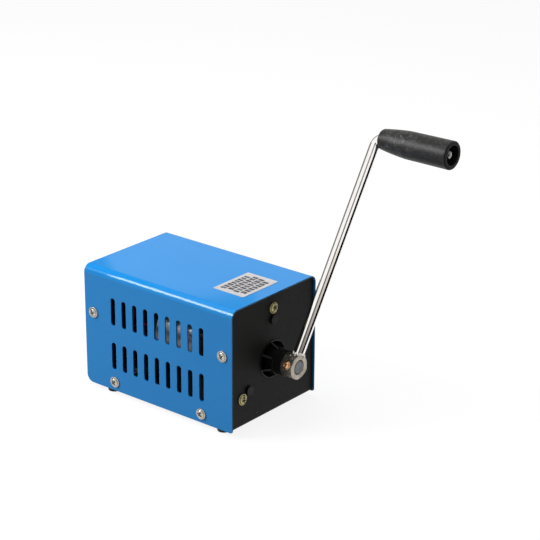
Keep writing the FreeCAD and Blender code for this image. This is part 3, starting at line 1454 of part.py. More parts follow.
def lead(name, route):
    """An insulated lead: straight runs joined by tangent arcs as large as the runs allow."""
    points = [Vector(*point) for point in route]
    edges = []
    radii = []
    here = points[0]
    for before, corner, after in zip(points, points[1:], points[2:]):
        into = corner - before
        out_of = after - corner
        reach = 0.45 * min(into.Length, out_of.Length)
        into.normalize()
        out_of.normalize()
        half_turn = into.getAngle(out_of) / 2
        radius = reach / math.tan(half_turn)
        radii.append(radius)
        start = corner - into * reach
        end = corner + out_of * reach
        inward = (out_of - into).normalize()
        middle = corner + inward * (radius / math.cos(half_turn) - radius)
        edges.append(Part.LineSegment(here, start).toShape())
        edges.append(Part.Arc(start, middle, end).toShape())
        here = end
    edges.append(Part.LineSegment(here, points[-1]).toShape())
    spine = Part.Wire(edges)
    section = Part.Wire(Part.Circle(points[0], points[1] - points[0], LEAD_RADIUS).toShape())
    solid = spine.makePipeShell([section], True, True)
    ideal = math.pi * LEAD_RADIUS ** 2 * spine.Length
    print(name, "length", round(spine.Length, 1), "radii", [round(r, 1) for r in radii],
          "volume share", round(solid.Volume / ideal, 4))
    return solid


def red_leads():
    """Motor to board, board to the red outlet, and board to the switch."""
    plus = -TERMINAL_SPACING / 2
    outlet = SOCKET_PLACES[0]
    tab = switch_tab_heights()[1]
    return [
        lead("motor plus", [
            (plus, TERMINAL_END, SHAFT_HEIGHT),
            (plus, TERMINAL_END + 7.8, SHAFT_HEIGHT),
            (-16, TERMINAL_END + 14.8, SHAFT_HEIGHT - 4.7),
            (-23, TERMINAL_END + 14.8, SHAFT_HEIGHT - 12.7),
            (-28, TERMINAL_END + 8.8, BOARD_TOP + 10.6),
            (-28, TERMINAL_END + 8.8, BOARD_TOP),
        ]),
        lead("red outlet", [
            (outlet, SOCKET_CONTACT_FRONT, OUTLET_HEIGHT),
            (outlet, SOCKET_CONTACT_FRONT - 8.5, OUTLET_HEIGHT),
            (outlet - 1, SOCKET_CONTACT_FRONT - 12.5, OUTLET_HEIGHT - 7.5),
            (outlet - 2.5, SOCKET_CONTACT_FRONT - 6, OUTLET_HEIGHT - 18),
            (-33, SOCKET_CONTACT_FRONT - 3.5, OUTLET_HEIGHT - 30),
            (-34, SOCKET_CONTACT_FRONT - 5, BOARD_TOP + 10.6),
            (-34, SOCKET_CONTACT_FRONT - 5, BOARD_TOP),
        ]),
        lead("switch feed", [
            (SWITCH_CENTRE, SWITCH_TAB_END, tab),
            (SWITCH_CENTRE, SWITCH_TAB_END - 8, tab),
            (SWITCH_CENTRE - 1, SWITCH_TAB_END - 13, tab - 6),
            (SWITCH_CENTRE - 3, SWITCH_TAB_END - 12.5, tab - 15.5),
            (SWITCH_CENTRE - 5, SWITCH_TAB_END - 8, tab - 28.5),
            (SWITCH_CENTRE - 6, SWITCH_TAB_END - 3, BOARD_TOP + 12.6),
            (SWITCH_CENTRE - 6, SWITCH_TAB_END - 3, BOARD_TOP),
        ]),
    ]


def black_leads():
    """Motor to board, board to the black outlet, and the switch's return."""
    minus = TERMINAL_SPACING / 2
    outlet = SOCKET_PLACES[1]
    tab = switch_tab_heights()[0]
    return [
        lead("motor minus", [
            (minus, TERMINAL_END, SHAFT_HEIGHT),
            (minus, TERMINAL_END + 7.8, SHAFT_HEIGHT),
            (12.5, TERMINAL_END + 12.8, SHAFT_HEIGHT - 7.2),
            (11, TERMINAL_END + 9.8, BOARD_TOP + 12.6),
            (11, TERMINAL_END + 9.8, BOARD_TOP),
        ]),
        lead("black outlet", [
            (outlet, SOCKET_CONTACT_FRONT, OUTLET_HEIGHT),
            (outlet, SOCKET_CONTACT_FRONT - 8, OUTLET_HEIGHT),
            (outlet + 0.5, SOCKET_CONTACT_FRONT - 13, OUTLET_HEIGHT - 6.5),
            (outlet + 3.5, SOCKET_CONTACT_FRONT - 10, OUTLET_HEIGHT - 16),
            (-1, SOCKET_CONTACT_FRONT - 3, OUTLET_HEIGHT - 27),
            (1, SOCKET_CONTACT_FRONT - 3.5, BOARD_TOP + 11.6),
            (1, SOCKET_CONTACT_FRONT - 3.5, BOARD_TOP),
        ]),
        lead("switch return", [
            (SWITCH_CENTRE, SWITCH_TAB_END, tab),
            (SWITCH_CENTRE, SWITCH_TAB_END - 8, tab),
            (SWITCH_CENTRE + 4, SWITCH_TAB_END - 13, tab - 5.5),
            (SWITCH_CENTRE + 7, SWITCH_TAB_END - 11, tab - 15.5),
            (SWITCH_CENTRE + 8, SWITCH_TAB_END - 4, tab - 26.5),
            (SWITCH_CENTRE + 8, SWITCH_TAB_END - 1, BOARD_TOP + 10.6),
            (SWITCH_CENTRE + 8, SWITCH_TAB_END - 1, BOARD_TOP),
        ]),
    ]


# -------------------------------------------------------------------- the crank

def crank_shaft():
    """The input shaft, with a flat for one boss screw."""
    shaft = along_y(SHAFT_RADIUS, BOSS_END + BOSS_CHAMFER, CARRIER_1_START + CARRIER_THICKNESS)
    flat = block(
        (SHAFT_RADIUS - SHAFT_FLAT_DEPTH, 2 * SHAFT_RADIUS),
        (BOSS_END, BOSS_START),
        centred(SHAFT_HEIGHT, 2 * SHAFT_RADIUS),
    )
    flat.rotate(AXIS_POINT, Y_AXIS, -BOSS_SCREW_ANGLES[1])
    return shaft.cut(flat)


def crank_spacer():
    """The black spacer ring between nose and boss."""
    end = NOSE_TIP - SPACER_GAP
    ring = along_y(SPACER_RADIUS, BOSS_START, end)
    return ring.cut(along_y(SHAFT_RADIUS + BOSS_BORE_GAP, BOSS_START, end))


def crank_boss():
    """The turned boss that clamps the crank to the shaft."""
    bore = SHAFT_RADIUS + BOSS_BORE_GAP
    outline = [
        (bore, 0),
        (BOSS_RADIUS, 0),
        (BOSS_RADIUS, BOSS_LENGTH - BOSS_CHAMFER),
        (BOSS_RADIUS - BOSS_CHAMFER, BOSS_LENGTH),
        (bore + BOSS_CHAMFER, BOSS_LENGTH),
        (bore, BOSS_LENGTH - BOSS_CHAMFER),
    ]
    body = turned(outline, Vector(0, BOSS_START, SHAFT_HEIGHT), Y_AXIS * -1)
    seat = Part.makeCylinder(
        ROD_RADIUS + ROD_SEAT_GAP, 2 * BOSS_RADIUS,
        Vector(0, ROD_PLANE, SHAFT_HEIGHT) + CRANK_DIRECTION * ROD_SEAT_RADIUS,
        CRANK_DIRECTION,
    )
    cutters = [seat]
    for angle in BOSS_SCREW_ANGLES:
        outward = on_circle(angle, 1, 0) - AXIS_POINT
        cutters.append(Part.makeCylinder(
            BOSS_SCREW_RADIUS + SCREW_CLEARANCE / 2, 2 * BOSS_RADIUS,
            Vector(0, boss_middle(), SHAFT_HEIGHT), outward,
        ))
    return body.cut(cutters)


def boss_middle():
    return BOSS_START - BOSS_LENGTH / 2


def boss_screws():
    """The two opposed screws in the boss: one on the round, one on the flat."""
    screws = []
    for angle, tip in zip(BOSS_SCREW_ANGLES, (SHAFT_RADIUS, SHAFT_RADIUS - SHAFT_FLAT_DEPTH)):
        seat = on_circle(angle, BOSS_RADIUS, boss_middle())
        inward = Vector(0, boss_middle(), SHAFT_HEIGHT) - seat
        screws.append(pan_screw(
            seat, inward, BOSS_SCREW_HEAD_RADIUS, BOSS_SCREW_HEAD_HEIGHT,
            BOSS_SCREW_RADIUS, BOSS_RADIUS - tip - SCREW_CLEARANCE,
        ))
    return screws


def crank_rod():
    """The round crank rod: straight arm, one tight bend, spindle and threaded stub."""
    root = Vector(0, ROD_PLANE, SHAFT_HEIGHT)
    start = root + CRANK_DIRECTION * (ROD_SEAT_RADIUS + ROD_SEAT_GAP)
    bend_start = root + CRANK_DIRECTION * (CRANK_RADIUS - ROD_BEND)
    diagonal = math.sin(math.radians(45))
    bend_middle = (
        root + CRANK_DIRECTION * (CRANK_RADIUS - ROD_BEND * (1 - diagonal))
        - Y_AXIS * ROD_BEND * (1 - diagonal)
    )
    bend_end = root + CRANK_DIRECTION * CRANK_RADIUS - Y_AXIS * ROD_BEND
    spindle_end = Vector(GRIP_CENTRE.x, GRIP_FLOOR - GRIP_END_PLAY, GRIP_CENTRE.z)
    spine = Part.Wire([
        Part.makeLine(start, bend_start),
        Part.Arc(bend_start, bend_middle, bend_end).toShape(),
        Part.makeLine(bend_end, spindle_end),
    ])
    section = Part.Wire(Part.Circle(start, CRANK_DIRECTION, ROD_RADIUS).toShape())
    rod = spine.makePipeShell([section], True, True)
    stub = Part.makeCylinder(
        SPINDLE_STUB_RADIUS, SPINDLE_STUB_LENGTH, spindle_end, Y_AXIS * -1
    )
    return fused(rod, stub)


def hand_grip():
    """The moulded grip: a bellied sleeve with a flared mouth and a deep end recess."""
    length = GRIP_LENGTH
    corner = Vector(GRIP_NECK_RADIUS - GRIP_NECK_ROUND, 0, 0)
    neck = Vector(GRIP_NECK_RADIUS, 0, GRIP_NECK_ROUND)
    belly = Vector(GRIP_BELLY_RADIUS, 0, GRIP_BELLY_AT)
    flank = Vector(
        (GRIP_NECK_RADIUS + GRIP_BELLY_RADIUS) / 2 + GRIP_SWELL, 0,
        (GRIP_NECK_ROUND + GRIP_BELLY_AT) / 2,
    )
    end_edge = Vector(GRIP_END_RADIUS, 0, length - GRIP_END_ROUND)
    end_corner = Vector(GRIP_END_RADIUS - GRIP_END_ROUND, 0, length)
    inset = GRIP_NECK_ROUND * ROOT_TWO_SHARE
    end_inset = GRIP_END_ROUND * ROOT_TWO_SHARE
    inside = [
        end_corner,
        Vector(GRIP_RECESS_RADIUS, 0, length),
        Vector(GRIP_RECESS_RADIUS, 0, length - GRIP_RECESS_DEPTH),
        Vector(GRIP_BORE_RADIUS, 0, length - GRIP_RECESS_DEPTH),
        Vector(GRIP_BORE_RADIUS, 0, GRIP_MOUTH_DEPTH),
        Vector(GRIP_MOUTH_RADIUS, 0, 0),
        corner,
    ]
    edges = [
        Part.Arc(corner, Vector(GRIP_NECK_RADIUS - inset, 0, inset), neck).toShape(),
        Part.Arc(neck, flank, belly).toShape(),
        Part.makeLine(belly, end_edge),
        Part.Arc(
            end_edge, Vector(GRIP_END_RADIUS - end_inset, 0, length - end_inset), end_corner
        ).toShape(),
    ]
    edges += [Part.makeLine(a, b) for a, b in zip(inside, inside[1:])]
    body = Part.Face(Part.Wire(edges)).revolve(Vector(0, 0, 0), Z_AXIS, 360)
    body.Placement = FreeCAD.Placement(
        Vector(GRIP_CENTRE.x, GRIP_START, GRIP_CENTRE.z),
        FreeCAD.Rotation(Z_AXIS, Y_AXIS * -1),
    )
    return body


def grip_washer():
    """The washer between grip and nut, on the stub."""
    face = GRIP_FLOOR - GRIP_END_PLAY
    x, z = GRIP_CENTRE.x, GRIP_CENTRE.z
    disc = along_y(GRIP_WASHER_RADIUS, face - GRIP_WASHER_THICKNESS, face, x, z)
    return disc.cut(along_y(SPINDLE_STUB_RADIUS, face - GRIP_WASHER_THICKNESS, face, x, z))


def grip_nut():
    """The hexagon nut on the stub."""
    face = GRIP_FLOOR - GRIP_END_PLAY - GRIP_WASHER_THICKNESS
    x, z = GRIP_CENTRE.x, GRIP_CENTRE.z
    nut = hexagon(GRIP_NUT_FLATS, face - GRIP_NUT_THICKNESS, face, x, z, CRANK_ANGLE)
    return nut.cut(along_y(SPINDLE_STUB_RADIUS, face - GRIP_NUT_THICKNESS, face, x, z))


# ------------------------------------------------------------------- the model

def build_box():
    save("top_cover", top_cover())
    save("base_chassis", base_chassis())
    save("cover_screws", *cover_screws())
    save("rubber_feet", *rubber_feet())
    save("foot_screws", *foot_screws())
    save("top_label", top_label())


def build_gearbox():
    save("gearbox_front_case", gearbox_front_case())
    save("gearbox_screws", *gearbox_screws())
    save("nose_bush", nose_bush())
    save("bearing_outer", bearing_outer())
    save("bearing_inner", bearing_inner())
    save("ring_gear", ring_gear())
    save("first_carrier", carrier(CARRIER_1_START, SHAFT_RADIUS))
    save("first_sun_gear", first_sun_gear())
    save("second_carrier", carrier(CARRIER_2_START, 0))
    save("motor_pinion", sun_gear(PLANETS_2_START, MOTOR_SHAFT_RADIUS))
    for letter, angle in zip("abc", PLANET_ANGLES):
        save("first_planet_" + letter, planet_gear(angle, PLANETS_1_START))
        save("second_planet_" + letter, planet_gear(angle, PLANETS_2_START))
    save("motor_plate", motor_plate())
    save("case_bolts", *case_bolts())
    save("motor_screws", *motor_screws())


def build_motor():
    save("motor_can", motor_can())
    save("motor_magnets", *motor_magnets())
    save("motor_end_cap", motor_end_cap())
    save("motor_bushes", *motor_bushes())
    save("motor_brushes", *motor_brushes())
    save("motor_terminals", *motor_terminals())
    save("rotor_shaft", rotor_shaft())
    save("armature_core", armature_core())
    save("armature_windings", armature_windings())
    save("commutator", commutator())


def build_power():
    save("power_board", power_board())
    save("board_standoffs", *board_standoffs())
    save("board_screws", *board_screws())
    save("rectifier", rectifier())
    save("smoothing_capacitor", smoothing_capacitor())
    save("choke_coil", choke_coil())
    save("usb_shell", usb_shell())
    save("usb_tongue", usb_tongue())
    save("outlet_red", outlet_body(SOCKET_PLACES[0]))
    save("outlet_black", outlet_body(SOCKET_PLACES[1]))
    save("outlet_contacts", *outlet_contacts())
    save("outlet_nuts", *outlet_nuts())
    save("switch_body", switch_body())
    save("switch_rocker", switch_rocker())
    save("red_leads", *red_leads())
    save("black_leads", *black_leads())


def build_crank():
    save("crank_shaft", crank_shaft())
    save("crank_spacer", crank_spacer())
    save("crank_boss", crank_boss())
    save("boss_screws", *boss_screws())
    save("crank_rod", crank_rod())
    save("hand_grip", hand_grip())
    save("grip_washer", grip_washer())
    save("grip_nut", grip_nut())


os.makedirs("parts", exist_ok=True)
build_box()
build_gearbox()
build_motor()
build_power()
build_crank()
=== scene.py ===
import json
import logging
import math
import random
from dataclasses import dataclass
from enum import Enum

import bmesh
import bpy
from bpy.types import Material, Mesh, Node, NodeSocket, NodeTree, Object
from mathutils import Matrix, Vector

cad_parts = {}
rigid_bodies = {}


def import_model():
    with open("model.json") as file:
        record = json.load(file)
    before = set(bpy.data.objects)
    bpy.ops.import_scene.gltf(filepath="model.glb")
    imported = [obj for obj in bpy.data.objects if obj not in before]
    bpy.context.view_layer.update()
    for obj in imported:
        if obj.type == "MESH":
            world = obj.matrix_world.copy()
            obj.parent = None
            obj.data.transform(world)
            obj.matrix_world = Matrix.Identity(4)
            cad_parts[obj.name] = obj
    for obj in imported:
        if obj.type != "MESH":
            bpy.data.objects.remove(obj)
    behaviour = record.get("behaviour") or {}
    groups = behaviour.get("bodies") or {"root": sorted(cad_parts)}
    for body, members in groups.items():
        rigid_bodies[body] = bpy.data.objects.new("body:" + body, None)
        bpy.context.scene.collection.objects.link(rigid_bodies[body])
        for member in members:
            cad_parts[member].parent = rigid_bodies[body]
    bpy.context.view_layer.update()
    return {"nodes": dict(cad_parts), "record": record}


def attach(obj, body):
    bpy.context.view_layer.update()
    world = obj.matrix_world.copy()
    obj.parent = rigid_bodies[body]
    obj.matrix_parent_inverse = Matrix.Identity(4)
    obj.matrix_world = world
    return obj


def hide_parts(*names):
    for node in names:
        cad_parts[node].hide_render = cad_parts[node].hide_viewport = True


# Dressed scene of a hand crank generator: a folded sheet box with a geared drive, a small
# power board and a chrome crank. The object's sizes are millimetres, which mm() turns into
# the frame's metres, and the studio's are metres. X is the width, the crank faces -Y, and
# Z is up.

LOG = logging.getLogger("hand_crank_generator")
Colour = tuple[float, float, float]
Point = tuple[float, float, float]
Pair = tuple[float, float]
Pairs = tuple[Pair, ...]
Outline = list[Pair]
# Parts are meshes with their placements.
Parts = list[tuple[Mesh, Matrix]]
# A seat is a place in metres, the direction that it faces and a turn in degrees.
Seat = tuple[Vector, Vector, float]
# A node's input takes a value or another node's output.
Source = float | tuple | Vector | NodeSocket


def mm(value: float) -> float:
    """Returns a length in millimetres as metres."""
    return value * 0.001


def mm_point(x: float, y: float, z: float) -> Vector:
    """Returns a point in millimetres as a vector in metres."""
    return Vector((x, y, z)) * 0.001


class Body(Enum):
    """The bodies that the pieces made here ride on."""

    HOUSING = "housing"
    CRANK = "crank"
    ROCKER = "rocker"


class LampLimit(Enum):
    """Whether a lamp lights one node alone, or all but that node."""

    ONLY = "INCLUDE"
    ALL_BUT = "EXCLUDE"


class Stretch(Enum):
    """How a surface texture is drawn out along one axis of the object."""

    EVEN = (1.0, 1.0, 1.0)
    ALONG_X = (0.06, 1.0, 1.0)
    ALONG_Y = (1.0, 0.06, 1.0)


@dataclass(frozen=True)
class Layout:
    """The drive's axis and the crank's arm, which several sub-assemblies share.

    Its sizes are in millimetres, and crank_angle is in degrees from +X towards +Z.
    """

    shaft_height: float = 42.7
    crank_angle: float = 57.6
    crank_radius: float = 163.0
    rod_plane: float = -83.5

    @property
    def crank_direction(self) -> Vector:
        """Returns the unit vector along the crank arm."""
        turn = math.radians(self.crank_angle)
        return Vector((math.cos(turn), 0.0, math.sin(turn)))

    @property
    def crank_root(self) -> Vector:
        """Returns the place on the drive's axis that the arm starts from, in metres."""
        return mm_point(0.0, self.rod_plane, self.shaft_height)

    @property
    def grip_centre(self) -> Vector:
        """Returns the grip axis' place in the crank's plane, in metres."""
        return self.crank_root + self.crank_direction * mm(self.crank_radius)

    def on_circle(self, angle: float, radius: float, y: float) -> Vector:
        """Returns the point at an angle from +X towards +Z, a radius and a y, in metres."""
        turn = math.radians(angle)
        return mm_point(radius * math.cos(turn), y, self.shaft_height + radius * math.sin(turn))


LAYOUT = Layout()
FRONT = Vector((0.0, -1.0, 0.0))


# ---- finishes


def connect(tree: NodeTree, socket: NodeSocket, source: Source) -> None:
    """Gives an input its value, or links an output to it.

    Args:
        tree: The node tree.
        socket: The input.
        source: A number, a vector, a linear colour or another node's output.
    """
    if isinstance(source, NodeSocket):
        tree.links.new(source, socket)
    elif socket.type == "RGBA":
        socket.default_value = (*source, 1.0)
    else:
        socket.default_value = source


def node(tree: NodeTree, kind: str, inputs: dict[str | int, Source] | None = None,
         **options: str | int) -> Node:
    """Adds a shader node.

    Args:
        tree: The node tree.
        kind: The node's type, without the ShaderNode that every type begins with.
        inputs: What each input takes, by the input's name or number.
        options: The node's own settings.

    Returns:
        The node.
    """
    made = tree.nodes.new("ShaderNode" + kind)
    for option, choice in options.items():
        setattr(made, option, choice)
    for key, source in (inputs or {}).items():
        connect(tree, made.inputs[key], source)
    return made


class Graph:
    """A material's node tree, with short calls for the nodes that the finishes share."""

    def __init__(self, name: str) -> None:
        """Starts a material with one principled shader.

        Args:
            name: The material's name.
        """
        self.material = bpy.data.materials.new(name)
        self.material.use_nodes = True
        self.tree = self.material.node_tree
        self.shader = self.tree.nodes["Principled BSDF"]
        self.place = node(self.tree, "TexCoord").outputs["Object"]

    def feed(self, socket: str, source: Source) -> None:
        """Gives one of the shader's own sockets a number, or the output that drives it."""
        connect(self.tree, self.shader.inputs[socket], source)

    def noise(self, size: float, detail: float = 2.0, stretch: Stretch = Stretch.EVEN,
              twist: float = 0.0) -> NodeSocket:
        """Adds a noise texture.

        Args:
            size: The size of its patches, in millimetres.
            detail: The noise's octaves.
            stretch: The axis along which it is drawn out.
            twist: How far it is distorted.

        Returns:
            Its grey value.
        """
        place = self.place
        if stretch is not Stretch.EVEN:
            drawn_out = {"Vector": place, "Scale": stretch.value}
            place = node(self.tree, "Mapping", drawn_out).outputs["Vector"]
        return node(self.tree, "TexNoise", {
            "Vector": place, "Scale": 1000.0 / size, "Detail": detail, "Distortion": twist,
        }).outputs["Fac"]

    def spread(self, value: NodeSocket, low: float, high: float, start: float = 0.3,
               end: float = 0.7) -> NodeSocket:
        """Maps a grey value from between start and end to between low and high."""
        inputs = {"Value": value, "From Min": start, "From Max": end, "To Min": low, "To Max": high}
        return node(self.tree, "MapRange", inputs).outputs["Result"]

    def blend(self, share: NodeSocket, first: Source, second: Source) -> NodeSocket:
        """Mixes two colours, or outputs that give one; a share of 0 is the first."""
        inputs = {"Factor": share, 6: first, 7: second}
        return node(self.tree, "Mix", inputs, data_type="RGBA").outputs[2]

    def product(self, first: NodeSocket, second: NodeSocket) -> NodeSocket:
        """Multiplies two values."""
        return node(self.tree, "Math", {0: first, 1: second}, operation="MULTIPLY").outputs[0]

    def within(self, point: Vector, reach: float, soft: float) -> NodeSocket:
        """Returns 1 within a reach of a point and 0 past a soft edge, both in millimetres."""
        distance = node(self.tree, "VectorMath", {0: self.place, 1: point}, operation="DISTANCE")
        return self.spread(distance.outputs["Value"], 1.0, 0.0, mm(reach), mm(reach + soft))

    def relief(self, height: NodeSocket, depth: float, strength: float,
               edge: float = 0.0) -> None:
        """Gives the shader a bumped normal, over softened edges.

        Args:
            height: The texture that raises the surface.
            depth: The height of its relief, in millimetres.
            strength: The share of the relief that shows.
            edge: The radius that sharp edges are softened by, in millimetres.
        """
        inputs = {"Height": height, "Distance": mm(depth), "Strength": strength}
        if edge > 0.0:
            rounding = node(self.tree, "Bevel", {"Radius": mm(edge)}, samples=8)
            inputs["Normal"] = rounding.outputs["Normal"]
        self.feed("Normal", node(self.tree, "Bump", inputs).outputs["Normal"])


@dataclass(frozen=True)
class Coating:
    """A painted surface with a fine peel, and a clear gloss where it has one."""

    name: str
    colour: Colour
    tint: Colour
    roughness: float
    specular: float
    peel_depth: float
    edge: float
    peel: float = 0.5
    gloss: float = 0.0
    gloss_roughness: float = 0.09
    cloud: float = 42.0
    rub: float = 1.4
    nick: Point | None = None
    nick_reach: float = 0.35
    nick_soft: float = 0.25
    nick_colour: Colour = (0.25, 0.25, 0.26)

    def build(self) -> Material:
        """Builds the finish.

        Returns:
            The material.
        """
        graph = Graph(self.name)
        cloud = graph.spread(graph.noise(self.cloud, 3.0), 0.0, 1.0)
        colour = graph.blend(cloud, self.colour, self.tint)
        if self.nick is not None:
            bare = graph.within(mm_point(*self.nick), self.nick_reach, self.nick_soft)
            colour = graph.blend(bare, colour, self.nick_colour)
        graph.feed("Base Color", colour)
        rub = graph.noise(self.rub)
        graph.feed("Roughness", graph.spread(rub, self.roughness - 0.04, self.roughness + 0.05))
        graph.feed("Specular IOR Level", self.specular)
        graph.feed("Coat Weight", self.gloss)
        graph.feed("Coat Roughness", self.gloss_roughness)
        graph.relief(graph.noise(self.peel), self.peel_depth, 0.5, self.edge)
        return graph.material


@dataclass(frozen=True)
class Moulding:
    """An injection moulded plastic with a spark-eroded grain."""

    name: str
    colour: Colour
    roughness: float = 0.48
    specular: float = 0.35
    flow: float = 9.0
    wear: float = 3.0
    wear_spread: float = 0.06
    grain: float = 0.35
    grain_depth: float = 0.015
    edge: float = 0.2

    def build(self) -> Material:
        """Builds the finish.

        Returns:
            The material.
        """
        graph = Graph(self.name)
        paler = tuple(channel * 1.18 + 0.002 for channel in self.colour)
        flow = graph.spread(graph.noise(self.flow, 4.0, twist=0.6), 0.0, 1.0)
        graph.feed("Base Color", graph.blend(flow, self.colour, paler))
        low, high = self.roughness - self.wear_spread, self.roughness + self.wear_spread
        graph.feed("Roughness", graph.spread(graph.noise(self.wear, 3.0), low, high))
        graph.feed("Specular IOR Level", self.specular)
        graph.relief(graph.noise(self.grain, 3.0), self.grain_depth, 0.6, self.edge)
        return graph.material


@dataclass(frozen=True)
class Metal:
    """Bare or plated metal with drawn, turned or rolled marks."""

    name: str
    colour: Colour
    tint: Colour
    roughness: float
    roughness_spread: float = 0.08
    marks: Stretch = Stretch.EVEN
    mark_size: float = 0.6
    mark_depth: float = 0.006
    tint_size: float = 2.5
    edge: float = 0.15
    metallic: float = 1.0

    def build(self) -> Material:
        """Builds the finish.

        Returns:
            The material.
        """
        graph = Graph(self.name)
        stain = graph.spread(graph.noise(self.tint_size, 3.0, twist=0.8), 0.0, 1.0)
        graph.feed("Base Color", graph.blend(stain, self.colour, self.tint))
        drawn = graph.noise(self.mark_size, 4.0, self.marks)
        low, high = self.roughness - self.roughness_spread, self.roughness + self.roughness_spread
        graph.feed("Roughness", graph.spread(drawn, low, high))
        graph.feed("Metallic", self.metallic)
        graph.relief(drawn, self.mark_depth, 0.5, self.edge)
        return graph.material


@dataclass(frozen=True)
class GripPlastic:
    """The grip's matt plastic, dusty and with thin scuffs round its inner end."""

    name: str
    colour: Colour = (0.0100, 0.0096, 0.0094)
    dust: Colour = (0.085, 0.080, 0.078)
    dust_size: float = 1.7
    scuff: Colour = (0.11, 0.11, 0.11)
    scuff_start: float = -97.0
    scuff_end: float = -112.0
    scuff_path: float = 7.0
    scuff_gap: float = 8.0
    specular: float = 0.18
    grain: float = 0.8
    grain_depth: float = 0.06
    edge: float = 0.45

    def build(self) -> Material:
        """Builds the finish.

        Returns:
            The material.
        """
        graph = Graph(self.name)
        along = node(graph.tree, "SeparateXYZ", {0: graph.place}).outputs["Y"]
        near = graph.spread(along, 0.0, 1.0, mm(self.scuff_end - 12.0), mm(self.scuff_end))
        far = graph.spread(along, 1.0, 0.0, mm(self.scuff_start), mm(self.scuff_start + 5.0))
        paths = graph.noise(self.scuff_path, 4.0, twist=1.6)
        scratch = graph.product(
            graph.spread(paths, 0.0, 1.0, 0.47, 0.50), graph.spread(paths, 1.0, 0.0, 0.50, 0.53)
        )
        gaps = graph.noise(self.scuff_gap, 4.0, twist=1.2)
        smear = graph.product(scratch, graph.spread(gaps, 0.0, 1.0, 0.42, 0.58))
        scuffed = graph.product(smear, graph.product(near, far))
        dust = graph.spread(graph.noise(self.dust_size, 5.0), 0.0, 0.30, 0.50, 0.72)
        base = graph.blend(dust, self.colour, self.dust)
        graph.feed("Base Color", graph.blend(scuffed, base, self.scuff))
        graph.feed("Roughness", graph.spread(scuffed, 0.42, 0.60, 0.0, 1.0))
        graph.feed("Specular IOR Level", self.specular)
        graph.relief(graph.noise(self.grain, 4.0), self.grain_depth, 0.8, self.edge)
        return graph.material


@dataclass(frozen=True)
class Winding:
    """Enamelled copper wire, laid turn by turn, with painted shade between the turns."""

    name: str
    colour: Colour = (0.55, 0.20, 0.075)
    shade: Colour = (0.22, 0.065, 0.02)
    wire: float = 0.5
    metallic: float = 0.85

    def build(self) -> Material:
        """Builds the finish.

        Returns:
            The material.
        """
        graph = Graph(self.name)
        waves = {"Vector": graph.place, "Scale": 1000.0 / (self.wire * 3.2), "Distortion": 0.4}
        turns = node(graph.tree, "TexWave", waves, bands_direction="Y").outputs["Fac"]
        # The darker colour between the turns is painted shade in the creases between wires.
        graph.feed("Base Color", graph.blend(turns, self.shade, self.colour))
        graph.feed("Roughness", graph.spread(graph.noise(1.2), 0.24, 0.36))
        graph.feed("Metallic", self.metallic)
        graph.relief(turns, 0.15, 0.9)
        return graph.material


@dataclass(frozen=True)
class BoardLaminate:
    """A green solder mask over fine copper tracks."""

    name: str
    mask: Colour = (0.008, 0.060, 0.022)
    track: Colour = (0.016, 0.105, 0.038)
    fineness: float = 260.0
    track_width: float = 0.05

    def build(self) -> Material:
        """Builds the finish.

        Returns:
            The material.
        """
        graph = Graph(self.name)
        brick = node(graph.tree, "TexBrick", {
            "Vector": graph.place, "Scale": self.fineness, "Mortar Size": self.track_width,
            "Color1": self.mask, "Color2": self.mask, "Mortar": self.track,
        })
        graph.feed("Base Color", brick.outputs["Color"])
        graph.feed("Roughness", graph.spread(graph.noise(2.0), 0.22, 0.34))
        graph.relief(brick.outputs["Fac"], 0.04, 0.5)
        return graph.material


